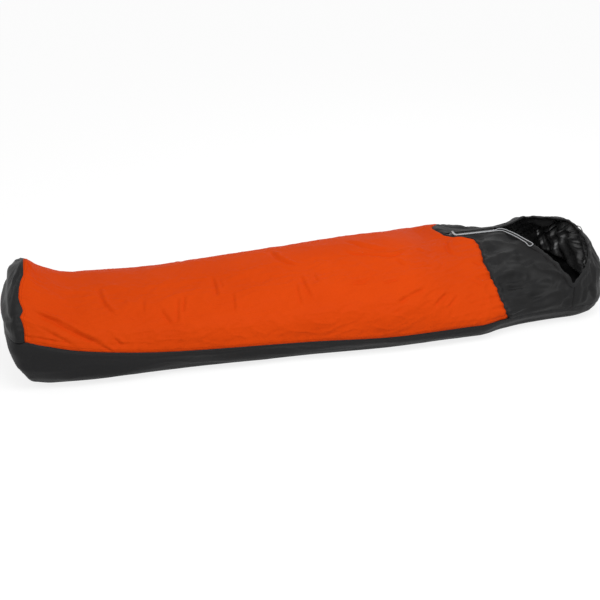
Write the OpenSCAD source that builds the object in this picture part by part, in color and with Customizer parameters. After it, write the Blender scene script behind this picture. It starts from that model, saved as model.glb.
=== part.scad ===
// Bivy sack, lying filled on the ground with the hood open.
// Millimetres. The origin is on the ground under the middle of the sack, +X runs to the head,
// +Y to the far side and +Z up. The zip stands open, with its slider at the foot end of the throat.

/* [Lengths along the sack] */
// Depth of the toe cap in front of the foot seam
foot_depth = 85; // [60:1:110]
// Foot seam to ankle
ankle_run = 150; // [110:1:200]
// Ankle to calf
calf_run = 330; // [250:1:420]
// Calf to hip
hip_run = 400; // [300:1:500]
// Hip to chest
chest_run = 350; // [260:1:440]
// Chest to shoulder, where the throat begins
shoulder_run = 262; // [210:1:320]
// Shoulder to the middle of the throat
collar_run = 95; // [85:1:120]
// Middle of the throat to neck
neck_run = 120; // [110:1:150]
// Neck to the seam between collar and crown
crown_run = 140; // [120:1:165]
// Depth of the crown behind that seam
crown_depth = 176; // [150:1:205]

/* [Widths of the filled sack] */
// Across the foot seam
foot_width = 470; // [420:1:520]
// Across the ankles
ankle_width = 500; // [450:1:550]
// Across the calves
calf_width = 516; // [460:1:570]
// Across the hips
hip_width = 556; // [500:1:620]
// Across the chest
chest_width = 600; // [540:1:660]
// Across the shoulders
shoulder_width = 600; // [540:1:660]
// Across the middle of the throat
collar_width = 556; // [500:1:610]
// Across the neck
neck_width = 524; // [470:1:580]
// Across the seam between collar and crown
crown_width = 512; // [460:1:560]

/* [Heights of the filled sack] */
// At the foot seam, where the toes stand up
foot_height = 342; // [300:1:375]
// At the ankles
ankle_height = 252; // [225:1:280]
// At the calves
calf_height = 240; // [215:1:270]
// At the hips
hip_height = 253; // [225:1:285]
// At the chest
chest_height = 266; // [240:1:300]
// From the shoulder to the neck, where the throat runs level
hood_height = 240; // [215:1:265]
// At the seam between collar and crown
crown_height = 272; // [245:1:300]
// Height of the widest level
belly_height = 105; // [90:1:120]
// How far the floor curves up at its edge
floor_round = 90; // [60:1:120]

/* [Tub wall] */
// Top of the wall at the foot
tub_foot = 186; // [150:1:220]
// Top of the wall at the ankles
tub_ankle = 142; // [120:1:170]
// Top of the wall at the calves
tub_calf = 101; // [85:1:125]
// Top of the wall at the hips
tub_hip = 86; // [70:1:100]
// Top of the wall at the chest
tub_chest = 72; // [60:1:90]
// Top of the wall from the shoulder on
tub_hood = 74; // [60:1:90]

/* [Hood] */
// Hood seam behind the shoulder, on the sides
collar_lead = 75; // [55:1:95]
// Extra sweep of the hood seam towards the head at the floor
collar_sweep = 30; // [15:1:45]
// How far the throat lies over to the far side
throat_lean = 110; // [80:1:140]
// How far the far side is drawn in beside the throat
throat_tuck = 62; // [40:1:75]
// Height of the face opening on the near side, as an angle round the section
near_dip = 11; // [8:0.5:18]
// Height of the face opening on the far side, as an angle round the section
far_dip = 57; // [45:1:64]
// How far the crown rises between the two, as an angle
crown_rise = 34; // [26:1:38]

/* [Cloth] */
// Thickness of the shell cloth
wall = 2; // [1.6:0.1:3]
// Thickness of the hood lining
lining_wall = 1; // [0.8:0.1:1.6]
// Gap between lining and shell
lining_gap = 0.5; // [0.3:0.1:0.8]
// Gap between sewn or seated pieces that do not touch face to face
seat_gap = 0.3; // [0.2:0.05:0.5]

/* [Drawcord] */
// Outside diameter of the rim channel
channel_d = 10; // [9:0.5:13]
// Diameter of the elastic drawcord
drawcord_d = 3; // [2.5:0.1:3.5]
// Room between drawcord and channel
drawcord_play = 0.5; // [0.3:0.1:1]
// Diameter of the cord lock barrel
lock_d = 14; // [13:0.5:18]
// Length of the cord lock barrel
lock_length = 24; // [22:1:30]
// Diameter of the cord lock button
button_d = 9; // [8:0.1:9.6]
// Travel of the cord lock button
button_travel = 4; // [3:0.1:5]
// Running clearance round the button
button_play = 0.08; // [0.04:0.01:0.1]
// Wire of the cord lock spring
spring_wire = 0.7; // [0.5:0.05:0.9]

/* [Zip] */
// Length of the zip
zip_length = 180; // [150:1:195]
// Width of each zip tape
zip_tape_width = 15; // [12:1:18]
// Thickness of the zip tapes
zip_tape_wall = 1; // [0.7:0.1:1.2]
// Pitch of the zip teeth
tooth_pitch = 3; // [2.5:0.1:4]
// Height of the zip teeth
tooth_height = 2.4; // [2:0.1:2.8]
// Length of the slider
slider_length = 13; // [11:0.5:16]
// Diameter of the pull cord
pull_cord_d = 3; // [2.5:0.1:3.5]

/* [Hidden] */
near = -1;
far = 1;

// Stations along the sack
total = foot_depth + ankle_run + calf_run + hip_run + chest_run + shoulder_run + collar_run + neck_run
    + crown_run + crown_depth;
x_foot = foot_depth - total / 2;
x_ankle = x_foot + ankle_run;
x_calf = x_ankle + calf_run;
x_hip = x_calf + hip_run;
x_chest = x_hip + chest_run;
x_shoulder = x_chest + shoulder_run;
x_collar = x_shoulder + collar_run;
x_neck = x_collar + neck_run;
x_crown = x_neck + crown_run;
stations = [x_foot, x_ankle, x_calf, x_hip, x_chest, x_shoulder, x_collar, x_neck, x_crown];
widths = [foot_width, ankle_width, calf_width, hip_width, chest_width, shoulder_width, collar_width,
    neck_width, crown_width];
heights = [foot_height, ankle_height, calf_height, hip_height, chest_height, hood_height, hood_height,
    hood_height, crown_height];
tub_tops = [tub_foot, tub_ankle, tub_calf, tub_hip, tub_chest, tub_hood, tub_hood, tub_hood, tub_hood];
leans = [0, 0, 0, 0, 0, throat_lean, throat_lean, throat_lean, 0];
tucks = [0, 0, 0, 0, 0, throat_tuck / 3, throat_tuck, throat_tuck, 0];

// Fullness of the outlines: 2 is an ellipse, more is squarer
body_arch = 2.2;
crown_arch = 2.7;
arches = [for (x = stations) x < x_crown ? body_arch : crown_arch];
edge_power = 2.2;
toe_power = 2.9;
head_power = 2.6;
// How far the crown slopes in towards its rim, near and far: 1 as much as the section, 0 stands upright
crown_slopes = [0.8, 0];
// How far the toe end falls back from the top of the tub wall to the floor
toe_rake = 27;

// A smooth curve through the stations, level where the values stop rising or falling and at the head.
// At the foot it starts this many times steeper than the way to the ankle.
foot_fall = 1.4;
function secant(ys, i) = (ys[i + 1] - ys[i]) / (stations[i + 1] - stations[i]);
function harmonic(a, b) = a * b <= 0 ? 0 : 2 * a * b / (a + b);
function slope(ys, i) = i == 0 ? foot_fall * secant(ys, 0)
    : i == len(ys) - 1 ? 0 : harmonic(secant(ys, i - 1), secant(ys, i));
function bay(x, i = 0) = i >= len(stations) - 2 || x <= stations[i + 1] ? i : bay(x, i + 1);
function along(ys, x) =
    let (c = min(max(x, x_foot), x_crown), i = bay(c), run = stations[i + 1] - stations[i])
    let (t = (c - stations[i]) / run, s = 1 - t)
    (1 + 2 * t) * s * s * ys[i] + t * s * s * run * slope(ys, i)
        + t * t * (3 - 2 * t) * ys[i + 1] - t * t * s * run * slope(ys, i + 1);

function mix(a, b, t) = a + (b - a) * t;
function ease(t) = let (c = min(max(t, 0), 1)) c * c * (3 - 2 * c);
function unit(v) = v / norm(v);
function root(v, power) = pow(max(v, 0), 2 / power);

// The section at x: the angle runs from the floor edge, -90, by the widest level, 0, to the crest, 90.
// The inset moves the surface inwards. Beside the throat the crest leans over to the far side.
function half_width(x) = along(widths, x) / 2;
function arch(x) = along(arches, x);
function section_y(x, a, inset) = a >= 0
    ? (half_width(x) - inset) * root(cos(a), arch(x))
    : half_width(x) - floor_round + (floor_round - inset) * root(cos(a), edge_power);
function section_z(x, a, inset) = a >= 0
    ? belly_height + (along(heights, x) - inset - belly_height) * root(sin(a), arch(x))
    : belly_height - (belly_height - inset) * root(-sin(a), edge_power);
function tucked(side, x) = side == far ? 1 - along(tucks, x) / half_width(x) : 1;
function side_point(side, x, a, inset) = [
    x,
    side * tucked(side, x) * section_y(x, a, inset) + along(leans, x) * root(sin(a), arch(x)),
    section_z(x, a, inset)
];

// The ends turn the section's outline round in plan: b runs from the near side, -90, to the far side, 90
function turned(x_end, reach, power, y, z, b) =
    [x_end + reach * root(cos(b), power), y * sign(b) * root(abs(sin(b)), power), z];
function share(x, y, inset) = y / (half_width(x) - inset);
function toe_point(b, a, inset) =
    let (y = section_y(x_foot, a, inset), z = section_z(x_foot, a, inset))
    let (rake = toe_rake * max(1 - z / tub_foot, 0))
    turned(x_foot, rake - (foot_depth - inset) * share(x_foot, y, inset), toe_power, y, z, b);
function crown_point(b, a, inset) =
    let (y = section_y(x_crown, a, inset), z = section_z(x_crown, a, inset))
    let (back = pow(share(x_crown, y, inset), mix(crown_slopes[0], crown_slopes[1], (b + 90) / 180)))
    turned(x_crown, (crown_depth - inset) * back, head_power, y, z, b);

// Where the tub wall ends, as an angle round the section
function tub_angle(x) =
    let (z = along(tub_tops, x), up = (z - belly_height) / (along(heights, x) - belly_height))
    z >= belly_height ? asin(pow(up, arch(x) / 2))
        : -asin(pow((belly_height - z) / belly_height, edge_power / 2));

// The hood seam, from the tub wall, 0, to the crest, 1, with a tongue towards the foot at the crest
tongue_from = 0.86;
function seam_x(t) = x_shoulder + collar_lead * (1 - ease((t - tongue_from) / (1 - tongue_from)))
    + collar_sweep * pow(1 - t, 4);

// The throat slit and the rim of the face opening
zip_lead = 24;
zip_end_gap = 8;
slit_foot = 8;
slit_head = 12;
x_zip = x_shoulder + zip_lead;
x_throat = x_zip + zip_length + zip_end_gap;
rim_fall = 1.8;
rim_flatten = 1.5;
rise_power = 0.6;
function slit_half(x) = x < x_zip ? slit_foot * (x - x_shoulder) / zip_lead
    : mix(slit_foot, slit_head, (x - x_zip) / (x_throat - x_zip));
function slit_angle(x) = acos(pow(slit_half(x) / half_width(x), arch(x) / 2));
function rim_angle(x, dip) = x <= x_throat ? slit_angle(x)
    : dip + (slit_angle(x_throat) - dip)
        * pow(max(1 - pow((x - x_throat) / (x_crown - x_throat), rim_fall), 0), rim_flatten);
function dip_of(side) = side == near ? near_dip : far_dip;
function crown_rim(b) = mix(near_dip, far_dip, (b + 90) / 180)
    + crown_rise * pow(max(cos(b), 0), rise_power);

// Steps of the surfaces
body_steps = 22;
zip_steps = 4;
rim_steps = 8;
end_steps = 14;
wall_steps = 4;
rows = [for (k = [0:9]) 1 - pow(1 - k / 9, 1.3)];
body_shares = [for (k = [0:body_steps]) k / body_steps];
lead_share = zip_lead / (x_crown - x_shoulder);
zip_share = (x_throat - x_shoulder) / (x_crown - x_shoulder);
rim_shares = [for (k = [0:rim_steps]) mix(zip_share, 1, k / rim_steps)];
collar_shares = concat([0], [for (k = [0:zip_steps - 1]) mix(lead_share, zip_share, k / zip_steps)],
    rim_shares);
end_angles = [for (k = [0:end_steps]) mix(-90, 90, k / end_steps)];

// Points of the panels: u runs towards the head, t up from the tub wall
function body_point(side, u, t, inset) =
    let (x = mix(x_foot, seam_x(t), u), low = tub_angle(x))
    side_point(side, x, mix(low, 90, t), inset);
function collar_point(side, u, t, inset) =
    let (x = mix(seam_x(t), x_crown, u), top = mix(seam_x(1), x_crown, u))
    side_point(side, x, mix(tub_angle(x), rim_angle(top, dip_of(side)), t), inset);
function crown_wall_point(b, t, inset) =
    crown_point(b, mix(tub_angle(x_crown), crown_rim(b), t), inset);
function toe_wall_point(b, t, inset) = toe_point(b, mix(tub_angle(x_foot), 90, t), inset);

function collar_grid(side, inset) =
    [for (u = collar_shares) [for (t = rows) collar_point(side, u, t, inset)]];
function crown_grid(inset) = [for (b = end_angles) [for (t = rows) crown_wall_point(b, t, inset)]];
function backwards(list) = [for (k = [len(list) - 1:-1:0]) list[k]];
function inner_items(list) = [for (k = [1:len(list) - 2]) list[k]];

// A closed sheet between an outer and an inner grid. With a pole the last row is one point.
// Walls that meet at a seam are split along the same diagonal: the one from the lower point in x, z or y.
same = 0.001;
function before(p, q) = abs(p[0] - q[0]) > same ? p[0] < q[0]
    : abs(p[2] - q[2]) > same ? p[2] < q[2] : p[1] < q[1];
function wall_faces(p, q, base, points) = before(points[p], points[q])
    ? [[p, q, base + q], [p, base + q, base + p]] : [[p, q, base + p], [q, base + q, base + p]];
function flat(grid) = [for (row = grid) each row];
function edge_walk(m, n) = concat([for (i = [0:m - 1]) i * n], [for (j = [1:n - 1]) (m - 1) * n + j],
    [for (i = [m - 2:-1:0]) i * n + n - 1], [for (j = [n - 2:-1:1]) j]);
function sheet_faces(m, n, points) =
    let (count = m * n, walk = edge_walk(m, n), ends = len(walk))
    concat(
        [for (i = [0:m - 2], j = [0:n - 2]) let (a = i * n + j, b = a + n) each [
            [a, b + 1, b], [a, a + 1, b + 1],
            [count + a, count + b, count + b + 1], [count + a, count + b + 1, count + a + 1]
        ]],
        [for (k = [0:ends - 1]) each wall_faces(walk[k], walk[(k + 1) % ends], count, points)]);
function merged(v, n) = v % n == n - 1 ? n - 1 : v;
function pole_face(f, m, n) =
    [for (v = f) v < m * n ? merged(v, n) : m * n + merged(v - m * n, n)];
function distinct(f) = f[0] != f[1] && f[1] != f[2] && f[2] != f[0];
module sheet(outer, inner, pole = false) {
    m = len(outer);
    n = len(outer[0]);
    points = flat(outer);
    faces = sheet_faces(m, n, points);
    poled = [for (f = faces) let (g = pole_face(f, m, n)) if (distinct(g)) g];
    polyhedron(points = concat(points, flat(inner)), faces = pole ? poled : faces);
}

// A tube through rings of points, solid or with a bore of inner rings
function ring_faces(count, n, base, turn) = [for (i = [0:count - 2], k = [0:n - 1])
    let (a = base + i * n + k, b = base + i * n + (k + 1) % n)
    each turn ? [[a, a + n, b + n], [a, b + n, b]] : [[a, b + n, a + n], [a, b, b + n]]];
module tube(rings) {
    n = len(rings[0]);
    last = (len(rings) - 1) * n;
    polyhedron(points = flat(rings), faces = concat(ring_faces(len(rings), n, 0, true),
        [[for (k = [0:n - 1]) k]], [[for (k = [n - 1:-1:0]) last + k]]));
}
module pipe(outer, inner) {
    n = len(outer[0]);
    count = len(outer);
    base = count * n;
    last = (count - 1) * n;
    ends = [for (k = [0:n - 1]) let (q = (k + 1) % n) each [
        [k, q, base + q], [k, base + q, base + k],
        [last + k, base + last + q, last + q], [last + k, base + last + k, base + last + q]
    ]];
    polyhedron(points = concat(flat(outer), flat(inner)),
        faces = concat(ring_faces(count, n, 0, true), ring_faces(count, n, base, false), ends));
}

// A round cord through points: one ring at each, square to the run
function heading(path, i) = unit(path[min(i + 1, len(path) - 1)] - path[max(i - 1, 0)]);
function cord_ring(p, t, r, sides) =
    let (guide = abs(t[2]) > 0.9 ? [1, 0, 0] : [0, 0, 1], e = unit(cross(guide, t)), f = cross(t, e))
    [for (k = [0:sides - 1]) p + r * (cos(360 * k / sides) * e + sin(360 * k / sides) * f)];
function cord_rings(path, r, sides) =
    [for (i = [0:len(path) - 1]) cord_ring(path[i], heading(path, i), r, sides)];
function curve_point(path, s) =
    let (i = min(floor(s), len(path) - 2), t = s - i, p1 = path[i], p2 = path[i + 1])
    let (p0 = i == 0 ? 2 * p1 - p2 : path[i - 1], p3 = i + 2 < len(path) ? path[i + 2] : 2 * p2 - p1)
    p1 + t / 2 * (p2 - p0 + t * (2 * p0 - 5 * p1 + 4 * p2 - p3 + t * (3 * p1 - p0 - 3 * p2 + p3)));
function curve(path, steps) =
    [for (k = [0:(len(path) - 1) * steps]) curve_point(path, k / steps)];

// The tub: rings from the top of the wall down to the edge of the flat floor
side_xs = concat([for (u = body_shares) mix(x_foot, seam_x(0), u)],
    [for (k = [1:len(collar_shares) - 1]) mix(seam_x(0), x_crown, collar_shares[k])]);
function tub_ring(k, inset) = concat(
    [for (x = side_xs) side_point(near, x, mix(tub_angle(x), -90, k / wall_steps), inset)],
    [for (b = inner_items(end_angles)) crown_point(b, mix(tub_angle(x_crown), -90, k / wall_steps), inset)],
    [for (x = backwards(side_xs)) side_point(far, x, mix(tub_angle(x), -90, k / wall_steps), inset)],
    [for (b = backwards(inner_items(end_angles)))
        toe_point(b, mix(tub_angle(x_foot), -90, k / wall_steps), inset)]);
module floor_tub() color([0.16, 0.16, 0.17]) {
    outer = [for (k = [0:wall_steps]) tub_ring(k, 0)];
    inner = [for (k = [0:wall_steps]) tub_ring(k, wall)];
    n = len(outer[0]);
    base = (wall_steps + 1) * n;
    last = wall_steps * n;
    top = [for (k = [0:n - 1]) for (f = wall_faces(k, (k + 1) % n, base, outer[0])) backwards(f)];
    polyhedron(points = concat(flat(outer), flat(inner)), faces = concat(top,
        ring_faces(wall_steps + 1, n, 0, false), ring_faces(wall_steps + 1, n, base, true),
        [[for (k = [0:n - 1]) last + k]], [[for (k = [n - 1:-1:0]) base + last + k]]));
}

module foot_panel() color([0.2, 0.2, 0.21]) {
    outer = [for (b = backwards(end_angles)) [for (t = rows) toe_wall_point(b, t, 0)]];
    inner = [for (b = backwards(end_angles)) [for (t = rows) toe_wall_point(b, t, wall)]];
    sheet(outer, inner, pole = true);
}

function body_row(u, inset) = concat([for (t = rows) body_point(near, u, t, inset)],
    [for (k = [len(rows) - 2:-1:0]) body_point(far, u, rows[k], inset)]);
module top_panel() color([0.84, 0.27, 0.06])
    sheet([for (u = body_shares) body_row(u, 0)], [for (u = body_shares) body_row(u, wall)]);

module hood_near_panel() color([0.18, 0.18, 0.19])
    sheet(collar_grid(near, 0), collar_grid(near, wall));

module hood_far_panel() color([0.18, 0.18, 0.19])
    sheet(backwards(collar_grid(far, 0)), backwards(collar_grid(far, wall)));

module hood_crown() color([0.2, 0.2, 0.21])
    sheet(crown_grid(0), crown_grid(wall));

// The lining goes once round the hood on the same steps as its three panels. It starts a share of a
// step behind the hood seam, and stops a share of a row short of the zip and of the rim.
lining_start = 0.4;
lining_throat = 0.3;
lining_rim = 0.8;
function lining_top(i) = mix(lining_throat, lining_rim, ease((i - zip_steps - 1) / rim_steps));
function trimmed(row, top) = concat([for (k = [0:len(row) - 2]) row[k]],
    [mix(row[len(row) - 2], row[len(row) - 1], top)]);
function lining_side(side, inset) = let (grid = collar_grid(side, inset)) [for (i = [0:len(grid) - 1])
    trimmed(i == 0 ? mix(grid[0], grid[1], lining_start) : grid[i], lining_top(i))];
function lining_grid(inset) = concat(lining_side(near, inset),
    [for (row = inner_items(crown_grid(inset))) trimmed(row, lining_rim)],
    backwards(lining_side(far, inset)));
module hood_lining() color([0.08, 0.08, 0.09])
    sheet(lining_grid(wall + lining_gap), lining_grid(wall + lining_gap + lining_wall));

// The rim: the top edge of the collar and crown from the near to the far end of the throat
channel_sides = 8;
function rim_edge(inset) = concat([for (u = rim_shares) collar_point(near, u, 1, inset)],
    [for (b = inner_items(end_angles)) crown_wall_point(b, 1, inset)],
    [for (u = backwards(rim_shares)) collar_point(far, u, 1, inset)]);
rim_outer = rim_edge(0);
rim_inner = rim_edge(wall);
rim_mid = (rim_outer + rim_inner) / 2;
function rim_out(i) = unit(rim_outer[i] - rim_inner[i]);
function rim_up(i) = unit(cross(rim_out(i), heading(rim_mid, i)));
rim_centre = [for (i = [0:len(rim_mid) - 1]) rim_mid[i] + (channel_d / 2 + seat_gap) * rim_up(i)];
function rim_ring(i, r) = let (t = heading(rim_centre, i), e = rim_up(i), f = unit(cross(t, e)))
    [for (k = [0:channel_sides - 1]) let (a = 360 * (k + 0.5) / channel_sides)
        rim_centre[i] + r * (cos(a) * e + sin(a) * f)];
function rim_rings(r) = [for (i = [0:len(rim_mid) - 1]) rim_ring(i, r)];
module rim_channel() color([0.22, 0.22, 0.23])
    pipe(rim_rings(channel_d / 2), rim_rings(drawcord_d / 2 + drawcord_play));

module drawcord() color([0.1, 0.1, 0.1])
    tube(rim_rings(drawcord_d / 2));

// The cord lock lies on the back of the crown below the rim, its bore along the slope and its
// button to the far side. Here x runs to the far side, z up the slope and y into the cloth.
lock_step = rim_steps + end_steps / 2;
lock_drop = 58;
lock_z = rim_centre[lock_step][2] - lock_drop;
lock_angle = asin(pow((lock_z - belly_height) / (crown_height - belly_height), crown_arch / 2));
lock_seat = crown_point(0, lock_angle, 0);
lock_above = crown_point(0, lock_angle + 1, 0);
lock_lean = atan2(lock_seat[0] - lock_above[0], lock_above[2] - lock_seat[2]);
lock_off = lock_d / 2 + 2 * seat_gap;
bore_d = drawcord_d + 2 * drawcord_play;
lock_floor = 2.5;
spring_room = button_travel + 4 * spring_wire + 0.4;
stem_length = lock_length - lock_floor - spring_room;
button_head = 3;
bore_at = lock_floor + spring_room + bore_d / 2 + button_travel + 1;
module on_crown() translate(lock_seat) rotate([0, -lock_lean, 0]) rotate([0, 0, 90]) children();
module at_lock() on_crown() translate([-bore_at, -lock_off, 0]) children();

module cord_lock_barrel() color([0.12, 0.12, 0.12]) at_lock() difference() {
    rotate([0, 90, 0]) rotate_extrude($fn = 48) difference() {
        hull() {
            square([lock_d / 2 - 1.5, lock_length]);
            translate([0, 1.5]) square([lock_d / 2, lock_length - 3]);
        }
        translate([0, lock_floor]) square([button_d / 2 + button_play, lock_length]);
    }
    translate([bore_at, 0, -lock_d]) cylinder(d = bore_d, h = 2 * lock_d, $fn = 32);
}

module cord_lock_button() color([0.2, 0.2, 0.2]) at_lock() difference() {
    translate([lock_floor + spring_room, 0, 0]) rotate([0, 90, 0]) rotate_extrude($fn = 48) union() {
        square([button_d / 2, stem_length + button_travel + seat_gap]);
        translate([0, stem_length + button_travel + seat_gap]) square([button_d / 2 + 1, button_head]);
    }
    translate([bore_at, 0, -lock_d]) cylinder(d = bore_d, h = 2 * lock_d, $fn = 32);
    translate([bore_at + button_travel, 0, -lock_d]) cylinder(d = bore_d, h = 2 * lock_d, $fn = 32);
    translate([bore_at, -bore_d / 2, -lock_d]) cube([button_travel, bore_d, 2 * lock_d]);
}

// The spring: turns between flat end rings that bear on the barrel floor and on the button
spring_r = button_d / 2 - spring_wire - 0.3;
spring_turns = 3;
spring_points = 10;
spring_low = lock_floor + spring_wire / 2 + 0.05;
spring_high = lock_floor + spring_room - spring_wire / 2 - 0.05;
spring_path = [for (k = [0:spring_turns * spring_points])
    let (s = k / (spring_turns * spring_points), a = 360 * k / spring_points)
    [mix(spring_low, spring_high, s), spring_r * cos(a), spring_r * sin(a)]];
module cord_lock_spring() color([0.7, 0.7, 0.72]) at_lock()
    tube(cord_rings(spring_path, spring_wire / 2, 6));

// The cord's tail: out of the channel through the eyelet, over and down through the lock to its knot
eyelet_d = 8;
eyelet_h = 1.2;
to_rim = rim_centre[lock_step] - lock_seat;
channel_y = -to_rim[0] * cos(lock_lean) - to_rim[2] * sin(lock_lean);
channel_z = to_rim[2] * cos(lock_lean) - to_rim[0] * sin(lock_lean);
eyelet_y = channel_y - channel_d / 2 - seat_gap;
tail_end = 22;
tail_path = [
    [0, eyelet_y - seat_gap, channel_z],
    [0, eyelet_y - 3, channel_z],
    [0, eyelet_y - 6, channel_z - 1.5],
    [0, eyelet_y - 7.5, channel_z - 5],
    [0, mix(eyelet_y - 7.5, -lock_off, 0.3), channel_z - 11],
    [0, mix(eyelet_y - 7.5, -lock_off, 0.85), lock_d / 2 + 6],
    [0, -lock_off, lock_d / 2 + 1],
    [0, -lock_off, 0],
    [0, -lock_off, -lock_d / 2],
    [0, -lock_off, -tail_end]
];
module drawcord_tail() color([0.1, 0.1, 0.1]) on_crown()
    tube(cord_rings(curve(tail_path, 2), drawcord_d / 2, 8));
module drawcord_knot() color([0.1, 0.1, 0.1]) on_crown()
    translate([0, -lock_off, -tail_end - 7]) rotate_extrude($fn = 24)
        polygon([[0, 0], [2, 0], [4, 2], [4, 5], [2.4, 7], [0, 7]]);
module cord_eyelet() color([0.3, 0.3, 0.31]) on_crown()
    translate([0, eyelet_y + seat_gap / 2, channel_z]) rotate([90, 0, 0])
        rotate_extrude($fn = 32) translate([bore_d / 2, 0]) square([(eyelet_d - bore_d) / 2, eyelet_h]);

// The zip lies level under the edges of the throat slit, its rows parting towards the head
zip_drop = 1.2;
zip_top_z = hood_height - wall - zip_drop;
zip_mid_z = zip_top_z - zip_tape_wall / 2;
row_foot = 0.4;
row_head = 5;
bead = 1.5;
tooth = 1.7;
row_turn = atan((row_head - row_foot) / zip_length);
row_length = zip_length / cos(row_turn);
stop_length = 4;
module along_row(side) translate([x_zip, throat_lean + side * row_foot, zip_mid_z])
    rotate([0, 0, side * row_turn]) mirror([0, side == near ? 1 : 0, 0]) children();

module zip_tape(side) along_row(side)
    translate([0, bead + tooth, -zip_tape_wall / 2]) cube([row_length, zip_tape_width, zip_tape_wall]);
module zip_tape_near() color([0.1, 0.1, 0.11]) zip_tape(near);
module zip_tape_far() color([0.1, 0.1, 0.11]) zip_tape(far);

tooth_from = stop_length + seat_gap;
tooth_count = floor((row_length - 2 * tooth_from) / tooth_pitch);
function tooth_outline(k, phase) =
    let (x = tooth_from + (k + phase) * tooth_pitch, w = tooth_pitch / 2)
    [[x, tooth], [x + w * 0.2, 0], [x + w * 0.8, 0], [x + w, tooth]];
module zip_teeth(side, phase) along_row(side) translate([0, 0, -tooth_height / 2])
    linear_extrude(tooth_height) polygon(concat([[tooth_from, tooth + bead], [tooth_from, tooth]],
        [for (k = [0:tooth_count - 2]) each tooth_outline(k, phase)],
        [[row_length - tooth_from, tooth], [row_length - tooth_from, tooth + bead]]));
module zip_teeth_near() color([0.14, 0.14, 0.15]) zip_teeth(near, 0.1);
module zip_teeth_far() color([0.14, 0.14, 0.15]) zip_teeth(far, 0.6);

module zip_bottom_stop() color([0.35, 0.35, 0.36])
    translate([x_zip, throat_lean - row_foot - tooth - bead + seat_gap, zip_mid_z - tooth_height / 2])
        cube([stop_length, 2 * (row_foot + tooth + bead - seat_gap), tooth_height]);

module zip_top_stops() color([0.35, 0.35, 0.36]) for (side = [near, far]) along_row(side)
    translate([row_length - stop_length, 0, -tooth_height / 2])
        cube([stop_length, tooth + bead, tooth_height]);

// The slider: two plates with side lips round the rows, a post between the rows, and a bail on top
slider_x = x_zip + stop_length + 2;
slider_half = row_foot + tooth + bead + 3;
slider_room = tooth_height + 0.8;
slider_plate = 1.2;
slider_lip = 0.8;
slider_slot = zip_tape_wall + 0.8;
slider_z = zip_mid_z + slider_room / 2 + slider_plate;
bail_r = 3.2;
bail_wall = 1.8;
bail_leg = 6;
bail_root = 0.2;
bail_width = 2.6;
bail_x = slider_x + slider_length / 2;
bail_z = slider_z + bail_leg;
module slider_plan() polygon([[0, -slider_half + 1.4], [slider_length, -slider_half],
    [slider_length, slider_half], [0, slider_half - 1.4]]);
module zip_slider() color([0.62, 0.62, 0.64]) {
    translate([slider_x, throat_lean, zip_mid_z]) {
        difference() {
            translate([0, 0, -slider_room / 2 - slider_plate])
                linear_extrude(slider_room + 2 * slider_plate) slider_plan();
            translate([-1, -slider_half + slider_lip + 1.4, -slider_room / 2])
                cube([slider_length + 2, 2 * (slider_half - slider_lip - 1.4), slider_room]);
            translate([-1, -slider_half - 1, -slider_slot / 2])
                cube([slider_length + 2, 2 * slider_half + 2, slider_slot]);
        }
        translate([slider_length - 1.6, 0, -slider_room / 2 - slider_plate / 2])
            cylinder(d = 1, h = slider_room + slider_plate, $fn = 24);
    }
    translate([bail_x, throat_lean + bail_width / 2, slider_z - bail_root]) rotate([90, 0, 0])
        linear_extrude(bail_width) difference() {
            union() {
                translate([-bail_r - bail_wall, 0]) square([2 * (bail_r + bail_wall), bail_leg + bail_root]);
                translate([0, bail_leg + bail_root]) circle(r = bail_r + bail_wall, $fn = 48);
            }
            translate([0, bail_leg + bail_root]) circle(r = bail_r, $fn = 48);
            translate([-bail_r, -bail_wall]) square([2 * bail_r, bail_leg + bail_wall + bail_root]);
        }
}

// The knot holds both ends of the pull cord in the bail: a body, a neck through the bail and a stop
knot_r = 4.6;
knot_neck = 1.6;
knot_length = 9;
knot_from = bail_width / 2 + seat_gap;
knot_face = -knot_from - knot_length;
module pull_cord_knot() color([0.75, 0.76, 0.77]) translate([bail_x, throat_lean, bail_z])
    rotate([90, 0, 0])
    rotate_extrude($fn = 32) polygon([
        [0, -knot_from - 4], [2, -knot_from - 4], [3.8, -knot_from - 2.4], [3.8, -knot_from - 1.2],
        [2.6, -knot_from], [knot_neck, -knot_from], [knot_neck, knot_from], [3, knot_from],
        [knot_r, knot_from + 1.8], [knot_r, -knot_face - 1], [knot_r - 1, -knot_face], [0, -knot_face]
    ]);

// The pull cord: from the knot along the near edge of the throat, along the top of the rim channel to
// its turn, back beside the channel and along the throat to the knot again
cord_lift = 1.8;
knot_out = [[2.1, -0.4, 0], [2.8, -4.4, -0.2], [5.5, -7, -1], [12, -7.6, -3]];
throat_loop = [
    [-13, -16, 2.2], [-4, -14.5, 3.8], [5, -13.5, 5.8], [14, -19, 6.6], [23.5, -29, 7], [33, -53, 7.9],
    [42, -78, 8.4], [51, -111.5, 8.2], [60, -145, 7.6], [65.5, -162, 7.1], [67, -170, 6.7], [64.5, -177, 6.1],
    [58.5, -179.5, 3.4], [53.5, -175.5, 0], [51.5, -167, 0.6], [50.8, -156, 1.9], [50, -146, 3.1],
    [42, -113, 3.9], [33, -80, 4], [24.5, -56, 3.4], [15, -32.5, 2.7], [6, -24, 2.1], [-5, -22, 1.9]
];
knot_back = [[7, -11.6, -2.8], [1.5, -9.2, -1.6], [-1.8, -5, -0.3], [-2.1, -0.4, 0]];
function from_knot(list) = [for (p = list) [bail_x, throat_lean + knot_face, bail_z] + p];
function from_throat(list) = [for (p = list) [x_throat, throat_lean, hood_height] + p];
function cord_run(list, off) = [for (k = list)
    [mix(bail_x, x_throat, k), throat_lean - off, hood_height + cord_lift]];
pull_route = concat(from_knot(knot_out), cord_run([0.2, 0.4, 0.6, 0.8], 16.5), from_throat(throat_loop),
    cord_run([0.8, 0.6, 0.4, 0.2], 22), from_knot(knot_back));
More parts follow.
